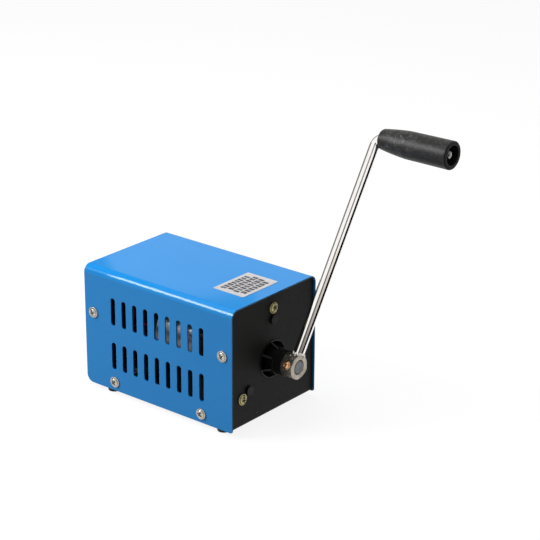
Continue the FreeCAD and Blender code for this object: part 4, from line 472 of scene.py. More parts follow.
FINISHES = (
    Coating("blue_paint", (0.005, 0.192, 0.512), (0.006, 0.200, 0.528), roughness=0.32,
        specular=0.02, peel_depth=0.003, edge=0.15, gloss=0.46),
    Coating("black_paint", (0.0120, 0.0124, 0.0118), (0.0145, 0.0144, 0.0136), roughness=0.55,
        specular=0.14, peel=0.7, peel_depth=0.02, edge=0.2, nick=(-16.5, -65.0, 9.0)),
    Metal("screw_nickel", (0.56, 0.54, 0.50), (0.40, 0.38, 0.34), roughness=0.22, mark_size=0.5,
        tint_size=1.1, edge=0.1),
    # Painted shade: a dull brown for the screws' recess floors and the shaft's gap ring.
    Metal("recess_shade", (0.170, 0.130, 0.085), (0.060, 0.050, 0.040), roughness=0.55,
        mark_size=0.4, tint_size=0.8, edge=0.05, metallic=0.2),
    Moulding("black_rubber", (0.010, 0.010, 0.010), roughness=0.7, specular=0.25),
    Metal("label_plate", (0.53, 0.52, 0.53), (0.48, 0.475, 0.485), roughness=0.42,
        marks=Stretch.ALONG_X, mark_size=0.25, metallic=0.35, tint_size=6.0, edge=0.05),
    Moulding("black_moulding", (0.0045, 0.0046, 0.0048), roughness=0.34, specular=0.16),
    Metal("yellow_zinc", (0.46, 0.38, 0.16), (0.22, 0.23, 0.16), roughness=0.25, mark_size=0.5,
        tint_size=1.0, edge=0.1),
    Metal("bronze", (0.50, 0.31, 0.13), (0.40, 0.24, 0.10), roughness=0.38,
        marks=Stretch.ALONG_Y),
    Metal("bearing_steel", (0.60, 0.60, 0.61), (0.52, 0.52, 0.54), roughness=0.18,
        roughness_spread=0.04),
    Metal("gear_steel", (0.40, 0.40, 0.42), (0.33, 0.33, 0.35), roughness=0.34, mark_size=0.4,
        edge=0.08),
    Moulding("nylon", (0.62, 0.60, 0.54), roughness=0.42, edge=0.08),
    Metal("motor_steel", (0.46, 0.46, 0.47), (0.38, 0.38, 0.40), roughness=0.36,
        marks=Stretch.ALONG_Y, mark_size=0.5, tint_size=8.0),
    Moulding("ferrite", (0.035, 0.035, 0.038), roughness=0.6),
    Metal("contact_brass", (0.72, 0.50, 0.18), (0.60, 0.42, 0.16), roughness=0.28, edge=0.08),
    Winding("copper"),
    BoardLaminate("board_green"),
    Moulding("capacitor_sleeve", (0.010, 0.012, 0.030), roughness=0.3),
    Moulding("white_plastic", (0.72, 0.72, 0.69), roughness=0.4),
    Moulding("red_plastic", (0.46, 0.012, 0.010), roughness=0.32, specular=0.5),
    Moulding("black_gloss", (0.012, 0.012, 0.013), roughness=0.22, specular=0.5),
    Moulding("red_insulation", (0.42, 0.014, 0.012), roughness=0.38),
    Moulding("black_insulation", (0.011, 0.011, 0.012), roughness=0.38),
    Metal("boss_nickel", (0.50, 0.45, 0.39), (0.29, 0.26, 0.22), roughness=0.28,
        roughness_spread=0.06, marks=Stretch.ALONG_Y, mark_size=0.4, tint_size=3.0),
    Metal("crank_chrome", (0.97, 0.96, 0.95), (0.92, 0.90, 0.88), roughness=0.08,
        roughness_spread=0.02, mark_size=1.4, mark_depth=0.001, tint_size=9.0, edge=0.0),
    GripPlastic("grip_plastic"),
    Metal("turned_steel", (0.17, 0.175, 0.185), (0.13, 0.135, 0.145), roughness=0.32,
        mark_size=0.3),
    Metal("copper_zinc", (0.74, 0.33, 0.13), (0.80, 0.58, 0.36), roughness=0.18, mark_size=0.4,
        tint_size=1.0, edge=0.08),
    Metal("weld_silver", (0.86, 0.85, 0.82), (0.72, 0.69, 0.64), roughness=0.16, tint_size=0.8,
        mark_size=0.5, mark_depth=0.05),
    Metal("solder_tin", (0.70, 0.71, 0.72), (0.60, 0.61, 0.62), roughness=0.22, tint_size=0.8),
    Moulding("print_grey", (0.020, 0.020, 0.023), roughness=0.5, edge=0.0),
    Moulding("resistor_tan", (0.50, 0.34, 0.18), roughness=0.4),
)


class Palette(dict[str, Material]):
    """Every finish of the object, by the record's slot names and the scene's own."""

    def __init__(self) -> None:
        """Builds the materials, and frees their names from the frame's plain ones."""
        for plain in bpy.data.materials:
            plain.name = "plain_" + plain.name
        super().__init__({finish.name: finish.build() for finish in FINISHES})


# ---- mesh making


def lathe(outline: Outline, steps: int = 48) -> Mesh:
    """Turns an outline about the local Z axis.

    Args:
        outline: Radius and height of each point, in millimetres; ends at radius 0 are closed.
        steps: The number of facets round the axis.

    Returns:
        The mesh, in metres, with smooth faces.
    """
    form = bmesh.new()
    rings = []
    for radius, height in outline:
        rings.append([
            form.verts.new((
                mm(radius) * math.cos(2 * math.pi * step / steps),
                mm(radius) * math.sin(2 * math.pi * step / steps),
                mm(height),
            ))
            for step in range(steps if radius else 1)
        ])
    for low, high in zip(rings, rings[1:]):
        for step in range(steps):
            after = (step + 1) % steps
            corners = [low[step % len(low)], low[after % len(low)],
                       high[after % len(high)], high[step % len(high)]]
            form.faces.new(list(dict.fromkeys(corners)))
    bmesh.ops.recalc_face_normals(form, faces=form.faces)
    return mesh_of(form)


def prism(corners: Outline, low: float, high: float, taper: float = 1.0) -> Mesh:
    """Extrudes an outline along the local Z axis.

    Args:
        corners: The outline's points in X and Y, in millimetres.
        low: The height of the first end, in millimetres.
        high: The height of the other end, in millimetres.
        taper: The scale of the first end against the other.

    Returns:
        The mesh, in metres.
    """
    form = bmesh.new()
    foot = [form.verts.new((mm(x) * taper, mm(y) * taper, mm(low))) for x, y in corners]
    head = [form.verts.new((mm(x), mm(y), mm(high))) for x, y in corners]
    form.faces.new(foot[::-1])
    form.faces.new(head)
    for step in range(len(corners)):
        after = (step + 1) % len(corners)
        form.faces.new((foot[step], foot[after], head[after], head[step]))
    return mesh_of(form)


def cross(length: float, width: float) -> Outline:
    """Returns the outline of a cross.

    Args:
        length: The span from arm end to arm end, in millimetres.
        width: The width of an arm, in millimetres.

    Returns:
        Its twelve corners, in millimetres.
    """
    far, near = length / 2, width / 2
    arm = [(far, -near), (far, near), (near, near)]
    corners = []
    for turn in range(4):
        c, s = round(math.cos(turn * math.pi / 2)), round(math.sin(turn * math.pi / 2))
        corners += [(c * x - s * y, s * x + c * y) for x, y in arm]
    return corners


def rectangle(left: float, right: float, low: float, high: float) -> Outline:
    """Returns a rectangle's outline, from its lower left corner round."""
    return [(left, low), (right, low), (right, high), (left, high)]


def tube(inner: float, outer: float, low: float, high: float, steps: int) -> Mesh:
    """Makes a short tube about the local Z axis, from radii and heights in millimetres."""
    section = rectangle(inner, outer, low, high)
    return lathe(section + section[:1], steps)


def mesh_of(form: bmesh.types.BMesh) -> Mesh:
    """Writes a bmesh to a new mesh and frees it.

    Args:
        form: The bmesh.

    Returns:
        The mesh.
    """
    mesh = bpy.data.meshes.new("form")
    form.to_mesh(mesh)
    form.free()
    return mesh


def with_modifiers(obj: Object) -> Mesh:
    """Returns an object's mesh with its modifiers applied."""
    graph = bpy.context.evaluated_depsgraph_get()
    return bpy.data.meshes.new_from_object(obj.evaluated_get(graph))


def added(name: str, data: bpy.types.ID) -> Object:
    """Adds an object to the scene.

    Args:
        name: Its name.
        data: Its mesh, lamp or camera.

    Returns:
        The object.
    """
    obj = bpy.data.objects.new(name, data)
    bpy.context.collection.objects.link(obj)
    return obj


def cut(mesh: Mesh, tool: Mesh, operation: str = "DIFFERENCE") -> Mesh:
    """Cuts one mesh by another.

    Args:
        mesh: The mesh that is cut.
        tool: The mesh that cuts it.
        operation: The boolean operation.

    Returns:
        The result, as a new mesh.
    """
    base = added("base", mesh)
    other = added("tool", tool)
    boolean = base.modifiers.new("cut", "BOOLEAN")
    boolean.object = other
    boolean.operation = operation
    boolean.solver = "EXACT"
    bpy.context.view_layer.update()
    result = with_modifiers(base)
    for obj in (base, other):
        bpy.data.objects.remove(obj)
    return result


def towards(seat: Vector, direction: Vector, turn: float = 0.0) -> Matrix:
    """Places a form so that its local Z axis points along a direction, turned in degrees."""
    aim = direction.to_track_quat("Z", "Y").to_matrix().to_4x4()
    return Matrix.Translation(seat) @ aim @ Matrix.Rotation(math.radians(turn), 4, "Z")


def joined(parts: Parts) -> Mesh:
    """Joins placed meshes into one.

    Args:
        parts: Each mesh with its placement.

    Returns:
        The joined mesh.
    """
    form = bmesh.new()
    for mesh, placement in parts:
        before = len(form.verts)
        form.from_mesh(mesh)
        form.verts.ensure_lookup_table()
        for vertex in form.verts[before:]:
            vertex.co = placement @ vertex.co
    return mesh_of(form)


def dress(frame: dict, palette: Palette) -> None:
    """Gives every carried-over node the finish of its slot.

    Args:
        frame: The loaded frame.
        palette: The finishes.
    """
    slots = {row["node"]: row["material_slot"] for row in frame["record"]["subparts"]}
    for name, carried in frame["nodes"].items():
        for slot in carried.material_slots:
            slot.material = palette[slots[name]]
        LOG.info("dressed %s in %s", name, slots[name])


@dataclass
class Assembly:
    """A sub-assembly, which makes its pieces in the palette's finishes."""

    palette: Palette

    def piece(self, name: str, parts: Parts, finish: str, body: Body, slot: str,
              smooth_angle: float = 35.0) -> Object:
        """Joins placed meshes into one named piece of the object.

        Args:
            name: The piece's name.
            parts: Its meshes with their placements.
            finish: Its finish in the palette.
            body: The body that it rides on.
            slot: The record's material slot; not used.
            smooth_angle: The edge angle below which faces shade smoothly, in degrees.

        Returns:
            The object.
        """
        mesh = joined(parts)
        mesh.name = name
        mesh.materials.clear()
        mesh.materials.append(self.palette[finish])
        for face in mesh.polygons:
            face.use_smooth = True
        mesh.set_sharp_from_angle(angle=math.radians(smooth_angle))
        obj = added(name, mesh)
        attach(obj, body.value)
        LOG.info("made %s, %d faces, on %s", name, len(mesh.polygons), body.value)
        return obj


# ---- screws


@dataclass(frozen=True)
class PanScrew:
    """A pan head screw with a cross recess, along local -Z from its seat.

    Its sizes are in millimetres up to plain_end and shares of them after it, but for the
    dome's power and steps.
    """

    head_radius: float
    head_height: float
    shank_radius: float
    length: float
    thread_pitch: float = 0.7
    plain_end: float = 0.8
    thread_root: float = 0.84
    tip: float = 0.7
    rim: float = 0.42
    dome: float = 0.78
    dome_power: float = 0.62
    dome_steps: int = 7
    taper: float = 0.6
    recess_span: float = 1.25
    recess_arm: float = 0.32
    recess_floor: float = 0.55

    @property
    def recess(self) -> tuple[float, float, float]:
        """Returns the recess' span, its arms' width and the height of its floor."""
        span = self.head_radius * self.recess_span
        return span, span * self.recess_arm, self.head_height * self.recess_floor

    def build(self) -> Mesh:
        """Builds the screw, with its seat at local zero.

        Returns:
            The mesh.
        """
        root = self.shank_radius * self.thread_root
        outline = [(0.0, -self.length), (root * self.tip, -self.length)]
        turns = int((self.length - self.plain_end) / self.thread_pitch)
        for turn in range(turns, 0, -1):
            height = -turn * self.thread_pitch
            outline += [(root, height), (self.shank_radius, height + self.thread_pitch / 2)]
        rim = self.head_height * self.rim
        dome = self.head_radius * self.dome
        outline += [
            (self.shank_radius, -0.02), (self.shank_radius, 0.0),
            (self.head_radius - 0.12, 0.0), (self.head_radius, 0.12),
            (self.head_radius, rim * 0.7), (self.head_radius - 0.18, rim),
            (dome + 0.15, rim), (dome, rim - 0.18),
        ]
        for step in range(1, self.dome_steps):
            turn = math.radians(90.0 * step / self.dome_steps)
            outline.append((
                dome * math.cos(turn) ** self.dome_power,
                rim + (self.head_height - rim) * math.sin(turn),
            ))
        outline.append((0.0, self.head_height))
        span, width, floor = self.recess
        slot = prism(cross(span, width), floor, self.head_height + 0.3, self.taper)
        return cut(lathe(outline), slot)

    def shade(self) -> Mesh:
        """Builds a dark floor for the recess, painted shade where the light hardly reaches.

        Returns:
            The mesh.
        """
        span, width, floor = self.recess
        grown = self.taper * 1.06
        return prism(cross(span * grown, width * grown), floor - 0.1, floor + 0.04)


@dataclass
class Screws(Assembly):
    """Every screw that shows from outside, and the ones under the feet."""

    cover: PanScrew = PanScrew(4.0, 2.2, 1.9, 6.0)
    gearbox: PanScrew = PanScrew(4.1, 2.4, 1.9, 10.0)
    boss: PanScrew = PanScrew(2.8, 1.5, 1.9, 2.9)
    foot: PanScrew = PanScrew(2.8, 1.2, 1.5, 6.0)
    cover_turns: tuple[float, ...] = (24.0, 61.0, 8.0, 40.0, 15.0, 72.0, 50.0, 33.0)
    side: float = 44.0
    rear: float = 66.5
    end_inset: float = 8.1
    end_height: float = 57.5
    floor_inset: float = 26.9
    floor_height: float = 10.2
    plate_face: float = -65.0
    gearbox_circle: float = 37.0
    gearbox_angles: tuple[float, ...] = (90.0, 210.0, 330.0)
    gearbox_turn: float = 0.4
    boss_radius: float = 8.35
    boss_middle: float = -83.15
    boss_angles: Pair = (158.0, 338.0)
    boss_turn: float = 0.2
    foot_side: float = 37.0
    foot_rows: Pair = (-53.5, 47.0)
    foot_seat: float = 1.4

    def seats(self) -> dict[str, list[Seat]]:
        """Places the screws.

        Returns:
            Their seats, by the name of their group.
        """
        turns = iter(self.cover_turns)
        rows = ((self.end_inset, self.end_height), (self.floor_inset, self.floor_height))
        cover = [
            (mm_point(side * self.side, end * (self.rear - inset), height),
             Vector((side, 0.0, 0.0)), next(turns))
            for side in (-1.0, 1.0)
            for end in (-1.0, 1.0)
            for inset, height in rows
        ]
        gearbox = [
            (LAYOUT.on_circle(angle, self.gearbox_circle, self.plate_face), FRONT,
             angle * self.gearbox_turn)
            for angle in self.gearbox_angles
        ]
        centre = mm_point(0.0, self.boss_middle, LAYOUT.shaft_height)
        boss = []
        for angle in self.boss_angles:
            place = LAYOUT.on_circle(angle, self.boss_radius, self.boss_middle)
            boss.append((place, (place - centre).normalized(), angle * self.boss_turn))
        foot = [
            (mm_point(x, y, self.foot_seat), Vector((0.0, 0.0, -1.0)), x)
            for x in (-self.foot_side, self.foot_side)
            for y in self.foot_rows
        ]
        return {"cover": cover, "gearbox": gearbox, "boss": boss, "foot": foot}

    def build(self) -> None:
        """Builds the screws in place of their plain nodes, with painted shade in their recesses."""
        steel, yellow = "screw_nickel", "yellow_zinc"
        groups = (
            ("cover", self.cover, steel, steel, Body.HOUSING),
            ("gearbox", self.gearbox, yellow, yellow, Body.HOUSING),
            ("boss", self.boss, "copper_zinc", yellow, Body.CRANK),
            ("foot", self.foot, steel, steel, Body.HOUSING),
        )
        places = {
            name: [towards(*seat) for seat in seats] for name, seats in self.seats().items()
        }
        for name, screw, finish, slot, body in groups:
            form = screw.build()
            parts = [(form, place) for place in places[name]]
            made = self.piece(name + "_pan_screws", parts, finish, body, slot)
            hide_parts(name + "_screws")
        # Dark floors in the recesses, as painted shade.
        for name, screw, _, slot, body in groups:
            form = screw.shade()
            parts = [(form, place) for place in places[name]]
            self.piece(name + "_recess_painted_shade", parts, "recess_shade", body, slot)


# ---- the label


@dataclass
class LabelPrint(Assembly):
    """Generic printed bars on the plain plate on top of the cover."""

    left: float = -19.65
    right: float = 16.85
    front: float = -55.8
    rear: float = -29.4
    height: float = 90.8
    thickness: float = 0.03
    side_margin: float = 3.8
    end_margin: float = 2.9
    rows: int = 4
    bar: float = 4.3
    gap: float = 0.8
    stroke_gap: float = 0.15
    starts: Pair = (0.0, 1.2)
    widths: Pair = (2.3, 3.3)
    splits: Pair = (0.4, 0.6)
    raggedness: float = 0.4
    row_end: float = 1.5
    seed: int = 11

    def build(self) -> None:
        """Builds the rows of short bars, each in two strokes."""
        chooser = random.Random(self.seed)
        pitch = (self.rear - self.front - 2 * self.end_margin - self.bar) / (self.rows - 1)
        bars = []
        for row in range(self.rows):
            low = self.front + self.end_margin + row * pitch
            x = self.left + self.side_margin + chooser.choice(self.starts)
            while x < self.right - self.side_margin - self.row_end:
                width = chooser.uniform(*self.widths)
                split = self.bar * chooser.uniform(*self.splits)
                for start, end in ((0.0, split - self.stroke_gap),
                                   (split + self.stroke_gap, self.bar)):
                    inset = chooser.uniform(0.0, self.raggedness)
                    stroke = rectangle(x + inset, x + width, low + start, low + end)
                    bar = prism(stroke, self.height, self.height + self.thickness)
                    bars.append((bar, Matrix()))
                x += width + self.gap
        self.piece("label_bars", bars, "print_grey", Body.HOUSING, "label_plate")


# ---- the crank


@dataclass
class WeldBead(Assembly):
    """The bright run of weld round the crank arm's root, and its spatter.

    Each drop of spatter is an angle, a place along the axis and a radius.
    """

    along: float = 8.7
    ring_radius: float = 3.9
    sag: float = 1.15
    lump_radius: float = 0.95
    lumps: int = 15
    lump_shifts: Pair = (-0.15, 0.2)
    lump_sizes: Pair = (0.8, 1.2)
    spatter_circle: float = 8.35
    spatter: tuple[Point, ...] = (
        (98.0, -84.6, 0.5), (104.0, -81.9, 0.42), (121.0, -85.4, 0.36), (87.0, -86.6, 0.3)
    )
    voxel: float = 0.16
    seed: int = 5

    def build(self) -> None:
        """Builds the bead from overlapping lumps, remeshed to one skin."""
        chooser = random.Random(self.seed)
        direction = LAYOUT.crank_direction
        axis = Vector((0.0, 1.0, 0.0))
        across = direction.cross(axis).normalized()
        drops = []
        for step in range(self.lumps):
            turn = 2 * math.pi * step / self.lumps
            outward = across * math.cos(turn) + axis * math.sin(turn)
            drop = self.sag * math.cos(turn) ** 2
            along = self.along - drop + chooser.uniform(*self.lump_shifts)
            centre = LAYOUT.crank_root + direction * mm(along) + outward * mm(self.ring_radius)
            drops.append((centre, self.lump_radius * chooser.uniform(*self.lump_sizes)))
        for angle, y, radius in self.spatter:
            drops.append((LAYOUT.on_circle(angle, self.spatter_circle, y), radius))
        form = bmesh.new()
        for centre, radius in drops:
            place = Matrix.Translation(centre)
            bmesh.ops.create_icosphere(form, subdivisions=3, radius=mm(radius), matrix=place)
        bead = added("bead", mesh_of(form))
        skin = bead.modifiers.new("skin", "REMESH")
        skin.mode = "VOXEL"
        skin.voxel_size = mm(self.voxel)
        soften = bead.modifiers.new("soften", "SMOOTH")
        soften.factor = 0.5
        soften.iterations = 3
        parts = [(with_modifiers(bead), Matrix())]
        bpy.data.objects.remove(bead)
        self.piece("weld_bead", parts, "weld_silver", Body.CRANK, "boss_nickel", 80.0)


@dataclass
class ShaftEnd(Assembly):
    """The turned end of the input shaft inside the boss ring, with a centre mark and painted shade
    round it.
    """

    radius: float = 4.45
    shaft_radius: float = 4.98
    face: float = -87.4
    proud: float = 0.36
    sunk: float = 0.4
    chamfer: float = 0.4
    mark_radius: float = 0.9
    mark_depth: float = 0.3
    groove: Pair = (-0.3, 0.03)
    overlap: float = 0.2

    def build(self) -> None:
        """Builds the shaft's end face, and the dark ring of painted shade in the gap round it."""
        place = towards(mm_point(0.0, self.face, LAYOUT.shaft_height), FRONT)
        end = lathe([
            (0.0, -self.sunk), (self.radius, -self.sunk),
            (self.radius, self.proud - self.chamfer), (self.radius - self.chamfer, self.proud),
            (self.mark_radius, self.proud), (0.0, self.proud - self.mark_depth),
        ], 64)
        # The dark ring in the gap round the end face is painted shade.
        groove = tube(self.radius - self.overlap, self.shaft_radius, *self.groove, 64)
        for name, form, finish in (
            ("shaft_end", end, "turned_steel"), ("shaft_gap_shade", groove, "recess_shade")
        ):
            self.piece(name, [(form, place)], finish, Body.CRANK, "gear_steel")


@dataclass
class GripFastening(Assembly):
    """The nut and the threaded stub in the grip's end recess."""

    nut_flats: float = 8.0
    nut_start: float = -136.45
    nut_thickness: float = 4.0
    nut_chamfer: Pair = (0.55, 1.3)
    nut_top: float = 0.7
    nut_turn: float = 12.0
    stub_radius: float = 2.5
    stub_start: float = -135.45
    stub_length: float = 6.5
    pitch: float = 0.8
    thread_end: float = 0.5
    dome_start: float = 0.72
    dome_height: float = 0.92

    def nut(self) -> Mesh:
        """Builds the chamfered nut with its bore, its seat at local zero.

        Returns:
            The mesh.
        """
        corner = self.nut_flats / 2 / math.cos(math.pi / 6)
        turns = [2 * math.pi * step / 6 for step in range(6)]
        corners = [(corner * math.cos(turn), corner * math.sin(turn)) for turn in turns]
        hexagon = prism(corners, 0.0, self.nut_thickness)
        widest = corner + 0.05
        barrel = lathe([
            (0.0, 0.0), (self.nut_flats / 2, 0.0), (widest, self.nut_chamfer[0]),
            (widest, self.nut_thickness - self.nut_chamfer[1]),
            (self.nut_flats / 2 - self.nut_top, self.nut_thickness), (0.0, self.nut_thickness),
        ])
        bore = lathe(rectangle(0.0, self.stub_radius + 0.02, -1.0, 6.0))
        return cut(cut(hexagon, barrel, "INTERSECT"), bore)

    def stub(self) -> Mesh:
        """Builds the thread with its domed end, its root at local zero.

        Returns:
            The mesh.
        """
        root, crest = self.stub_radius - 0.02, self.stub_radius + 0.08
        outline = []
        for turn in range(int((self.stub_length - 1.6) / self.pitch), 0, -1):
            height = self.stub_length - self.thread_end - turn * self.pitch
            outline += [(root, height), (crest, height + self.pitch / 2)]
        for step in range(4):
            turn = math.radians(18.0 * step)
            rise = self.dome_height * math.sin(turn)
            outline.append((root * math.cos(turn), self.stub_length - self.dome_start + rise))
        return lathe([(0.0, outline[0][1]), *outline, (0.0, outline[-1][1])])

    def build(self) -> None:
        """Builds the nut in place of its plain node, and the thread."""
        centre = LAYOUT.grip_centre
        seat = Vector((centre.x, mm(self.nut_start), centre.z))
        parts = [(self.nut(), towards(seat, FRONT, self.nut_turn))]
        made = self.piece("grip_hex_nut", parts, "weld_silver", Body.CRANK, "crank_chrome")
        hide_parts("grip_nut")
        seat = Vector((centre.x, mm(self.stub_start), centre.z))
        parts = [(self.stub(), towards(seat, FRONT))]
        self.piece("stub_thread", parts, "screw_nickel", Body.CRANK, "crank_chrome")


# ---- the rear panel


@dataclass
class RockerMarks(Assembly):
    """The plain marks of the rocker: a bar for on and a ring for off."""

    centre: float = 24.0
    pivot: float = 63.4
    height: float = 63.0
    rise: float = 3.6
    tilt: float = 9.0
    offset: float = 5.0
    bar: Pair = (0.7, 3.2)
    ring: Pair = (1.2, 1.75)
    thickness: float = 0.06

    def build(self) -> None:
        """Builds both marks on the rocker's outer faces, as it stands at rest."""
        half_wide, half_tall = self.bar[0] / 2, self.bar[1] / 2
        ends = (-self.thickness, self.thickness)
        bar = prism(rectangle(-half_wide, half_wide, -half_tall, half_tall), *ends)
        ring = tube(*self.ring, *ends, 32)
        lean = math.radians(self.tilt)
        pivot = mm_point(self.centre, self.pivot, self.height)
        rocker = Matrix.Translation(pivot) @ Matrix.Rotation(lean, 4, "X")
        parts = []
        for form, side in ((bar, 1.0), (ring, -1.0)):
            along = Vector((0.0, math.sin(lean), side * math.cos(lean)))
            out = Vector((0.0, math.cos(lean), -side * math.sin(lean)))
            spot = Vector((0.0, mm(self.rise), 0.0)) + along * mm(self.offset)
            parts.append((form, rocker @ towards(spot, out)))
        self.piece("rocker_marks", parts, "white_plastic", Body.ROCKER, "black_gloss")


@dataclass
class BoardParts(Assembly):
    """Solder joints and small axial parts on the power board."""

    top: float = 11.4
    joints: Pairs = (
        (-28.0, 47.0), (-34.0, 42.0), (18.0, 43.0), (11.0, 48.0), (1.0, 43.5), (32.0, 45.0)
    )
    joint_outline: Pairs = ((1.9, 0.0), (1.5, 0.25), (1.1, 0.6), (1.02, 1.2))
    resistors: Pairs = ((-26.0, 39.0), (-26.0, 36.0), (24.0, 38.0), (24.0, 35.0))
    resistor_radius: float = 1.15
    resistor_half: Pairs = ((0.95, 1.6), (1.1, 1.9), (1.15, 2.5), (0.8, 3.0), (0.0, 3.1))

    def build(self) -> None:
        """Builds the joints and the parts."""
        joint = lathe(list(self.joint_outline), 24)
        parts = [(joint, Matrix.Translation(mm_point(x, y, self.top))) for x, y in self.joints]
        self.piece("solder_joints", parts, "solder_tin", Body.HOUSING, "screw_nickel")
        mirrored = [(radius, -height) for radius, height in self.resistor_half[::-1]]
        resistor = lathe(mirrored + list(self.resistor_half), 24)
        height = self.top + self.resistor_radius
        parts = [
            (resistor, towards(mm_point(x, y, height), Vector((1.0, 0.0, 0.0))))
            for x, y in self.resistors
        ]
        self.piece("resistors", parts, "resistor_tan", Body.HOUSING, "white_plastic")


# ---- studio


@dataclass
class ViewCamera:
    """The camera; its turns are in degrees and its distances in millimetres."""

    azimuth: float = -50.7854
    elevation: float = 21.3992
    roll: float = 0.2994
    distance: float = 1299.917
    focal_pixels: float = 1883.4466
    frame_pixels: float = 540.0
    sensor: float = 36.0
    target: Point = (0.0, 0.0, 45.6)
    target_pixel: Pair = (199.8027, 330.0358)

    def build(self) -> None:
        """Makes the scene's camera."""
        turn, lift = math.radians(self.azimuth), math.radians(self.elevation)
        back = Vector((
            math.sin(turn) * math.cos(lift), -math.cos(turn) * math.cos(lift), math.sin(lift)
        ))
        right = Vector((0.0, 0.0, 1.0)).cross(back).normalized()
        up = back.cross(right)
        roll = math.radians(self.roll)
        across = right * math.cos(roll) + up * math.sin(roll)
        upward = up * math.cos(roll) - right * math.sin(roll)
        half = self.frame_pixels / 2
        shift_x = (self.target_pixel[0] - half) / self.focal_pixels * self.distance
        shift_y = -(self.target_pixel[1] - half) / self.focal_pixels * self.distance
        place = (
            mm_point(*self.target) + back * mm(self.distance)
            - across * mm(shift_x) - upward * mm(shift_y)
        )
        data = bpy.data.cameras.new("view_camera")
        data.sensor_width = self.sensor
        data.lens = self.focal_pixels / self.frame_pixels * self.sensor
        data.clip_start = 0.01
        data.clip_end = 50.0
        camera = added("view_camera", data)
        camera.matrix_world = Matrix.Translation(place) @ Matrix(
            (across, upward, back)
        ).transposed().to_4x4()
        bpy.context.scene.camera = camera


def seen(tree: NodeTree) -> NodeSocket:
    """Returns 1 for camera, glossy and transmission rays, and 0 for the rest.

    Args:
        tree: The node tree that asks.

    Returns:
        The share of the plain white surroundings.
    """
    path = node(tree, "LightPath")
    total = path.outputs["Is Camera Ray"]
    for name in ("Is Glossy Ray", "Is Transmission Ray"):
        inputs = {0: total, 1: path.outputs[name]}
        total = node(tree, "Math", inputs, operation="MAXIMUM").outputs[0]
    return total


def staged(name: str, corners: list[Vector]) -> tuple[Object, NodeTree]:
    """Makes a flat sheet of the studio, which isn't part of the object.

    Args:
        name: Its name.
        corners: Its four corners, in metres.

    Returns:
        The sheet, and its material's nodes without a shader.
    """
    form = bmesh.new()
    form.faces.new([form.verts.new(corner) for corner in corners])
    sheet = added(name, mesh_of(form))
    material = bpy.data.materials.new(name)
    material.use_nodes = True
    material.node_tree.nodes.remove(material.node_tree.nodes["Principled BSDF"])
    sheet.data.materials.append(material)
    return sheet, material.node_tree


def surface(tree: NodeTree, shader: Node) -> None:
    """Makes a shader node the surface of a sheet's material."""
    connect(tree, tree.nodes["Material Output"].inputs["Surface"], shader.outputs[0])


@dataclass(frozen=True)
class Lamp:
    """A soft square lamp; its places and its side are in metres and its power in watts.

    Gloss shows it where it is mirrored. A limit ties it to one carried-over node of the
    object, or keeps it off that node.
    """

    name: str
    place: Vector
    target: Vector
    side: float
    power: float
    mirrored: bool
    limit: LampLimit | None = None
    limited: Object | None = None

    def build(self) -> None:
        """Builds the lamp."""
        data = bpy.data.lights.new(self.name, "AREA")
        data.size = self.side
        data.energy = self.power
        lamp = added(self.name, data)
        lamp.matrix_world = towards(self.place, self.place - self.target)
        lamp.visible_glossy = self.mirrored
        if self.limit is not None:
            group = bpy.data.collections.new(self.name + "_limit")
            group.objects.link(self.limited)
            group.collection_objects[0].light_linking.link_state = self.limit.value
            lamp.light_linking.receiver_collection = group


@dataclass(frozen=True)
class Card:
    """A grey card that only shows in gloss.

    Its middle and its two half spans are in metres, and its shades, from 0 to 1, are those of
    its two ends along half_long.
    """

    name: str
    middle: Vector
    half_wide: Vector
    half_long: Vector
    shades: Pair
    tone: Colour = (1.0, 0.93, 0.86)

    def build(self) -> None:
        """Builds the card."""
        corners = [
            self.middle + self.half_wide * x + self.half_long * y
            for x, y in rectangle(-1.0, 1.0, -1.0, 1.0)
        ]
        card, tree = staged(self.name, corners)
        start, end = self.shades
        greys = card.data.color_attributes.new("shade", "FLOAT_COLOR", "POINT")
        for corner, shade in zip(greys.data, (start, start, end, end)):
            corner.color = (*(shade * channel for channel in self.tone), 1.0)
        colour = node(tree, "VertexColor", layer_name="shade").outputs["Color"]
        surface(tree, node(tree, "Emission", {"Color": colour}))
        card.visible_camera = False
        card.visible_diffuse = False
        card.visible_shadow = False
        card.visible_transmission = False


@dataclass(frozen=True)
class ArmCard:
    """A card that runs along the crank arm, for its long reflections.

    Its turn is in degrees round the arm from the camera's side, its distance and width are in
    metres, and its reach, in millimetres, is where it starts and ends along the arm.
    """

    name: str
    turn: float
    distance: float
    width: float
    reach: Pair
    shades: Pair

    def build(self) -> None:
        """Builds the card."""
        arm = LAYOUT.crank_direction
        near = bpy.context.scene.camera.matrix_world.translation.normalized()
        near = (near - arm * near.dot(arm)).normalized()
        turn = math.radians(self.turn)
        aim = near * math.cos(turn) + arm.cross(near) * math.sin(turn)
        start, end = mm(self.reach[0]), mm(self.reach[1])
        middle = LAYOUT.crank_root + arm * (start + end) / 2 + aim * self.distance
        half_wide, half_long = arm.cross(aim) * (self.width / 2), arm * (end - start) / 2
        Card(self.name, middle, half_wide, half_long, self.shades).build()


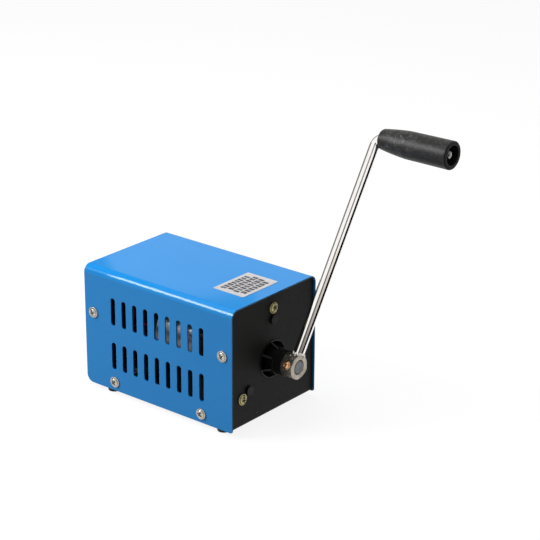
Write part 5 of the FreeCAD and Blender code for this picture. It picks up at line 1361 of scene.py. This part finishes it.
@dataclass
class Studio:
    """The pale floor, the soft lamps, the white surroundings and the grey cards."""

    floor_size: float = 12.0
    front_fill: float = 0.12
    rear_fill: float = 0.60
    floor_bounce: float = 0.12
    floor_match: float = 0.97
    shadow_share: float = 0.12

    def build(self, nodes: dict[str, Object]) -> None:
        """Builds everything round the object.

        Args:
            nodes: The carried-over nodes by name.
        """
        bpy.context.scene.view_settings.view_transform = "Standard"
        self.world()
        self.floor()
        grip = LAYOUT.grip_centre
        middle, upper = Vector((0.0, 0.0, 0.05)), Vector((0.0, 0.0, 0.08))
        for item in (
            Lamp("overhead", Vector((0.05, 0.28, 1.15)), middle, 0.9, 10.6, False),
            Lamp("bend_key", Vector((-0.74, 0.72, 0.76)), upper, 0.42, 12.0, True,
                 LampLimit.ALL_BUT, nodes["crank_rod"]),
            Lamp("grip_sheen", grip + Vector((-0.33, 0.24, 0.18)), grip, 0.25, 0.9, True,
                 LampLimit.ONLY, nodes["hand_grip"]),
            Lamp("left_fill", Vector((-0.98, 0.22, 0.72)), upper, 0.45, 2.6, False),
            ArmCard("view_card", -6.0, 0.55, 0.24, (-10.0, 252.0), (0.02, 0.26)),
            ArmCard("front_card", 73.0, 0.20, 0.19, (-60.0, 230.0), (0.0, 0.0)),
            ArmCard("rear_card", -112.0, 0.30, 0.27, (-60.0, 230.0), (0.20, 0.20)),
            ArmCard("low_card", 25.0, 0.60, 1.40, (5.0, 150.0), (0.0, 1.0)),
            Card("elbow_card", grip + Vector((0.07, 0.288, 0.115)), Vector((0.12, -0.04, 0.01)),
                 Vector((-0.01, -0.025, 0.06)), (0.20, 0.20)),
        ):
            item.build()

    def world(self) -> None:
        """Makes a white world that lights the object more from the rear than the front."""
        world = bpy.data.worlds.new("studio")
        world.use_nodes = True
        tree = world.node_tree
        place = node(tree, "TexCoord").outputs["Generated"]
        depth = node(tree, "SeparateXYZ", {0: place}).outputs["Y"]
        fill = node(tree, "MapRange", {
            "Value": depth, "From Min": -0.5, "From Max": 0.5,
            "To Min": self.front_fill, "To Max": self.rear_fill,
        })
        level = node(tree, "MapRange", {
            "Value": seen(tree), "To Min": fill.outputs["Result"], "To Max": 1.0,
        })
        background = tree.nodes["Background"]
        connect(tree, background.inputs["Color"], (1.0, 1.0, 1.0))
        connect(tree, background.inputs["Strength"], level.outputs["Result"])
        bpy.context.scene.world = world

    def floor(self) -> None:
        """Makes the floor: white to the eye, with a trace of the object's soft shadow."""
        half = self.floor_size / 2
        corners = [Vector((x, y, 0.0)) for x, y in rectangle(-half, half, -half, half)]
        _, tree = staged("floor", corners)
        matt = node(tree, "BsdfDiffuse", {"Color": (self.floor_bounce,) * 3})
        shaded = node(tree, "BsdfDiffuse", {"Color": (self.floor_match,) * 3})
        glow = node(tree, "Emission")
        soft = node(tree, "MixShader", {
            "Fac": self.shadow_share, 1: glow.outputs[0], 2: shaded.outputs[0],
        })
        surface(tree, node(tree, "MixShader", {
            "Fac": seen(tree), 1: matt.outputs[0], 2: soft.outputs[0],
        }))


# ---- main


def main() -> None:
    """Loads the frame, builds and dresses every sub-assembly, and sets the studio."""
    logging.basicConfig(level=logging.INFO, format="%(message)s")
    for leftover in list(bpy.data.objects):
        bpy.data.objects.remove(leftover)
    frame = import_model()
    palette = Palette()
    ViewCamera().build()
    dress(frame, palette)
    for assembly in (
        Screws, LabelPrint, WeldBead, ShaftEnd, GripFastening, RockerMarks, BoardParts
    ):
        assembly(palette).build()
    Studio().build(frame["nodes"])


if __name__ == "__main__":
    main()
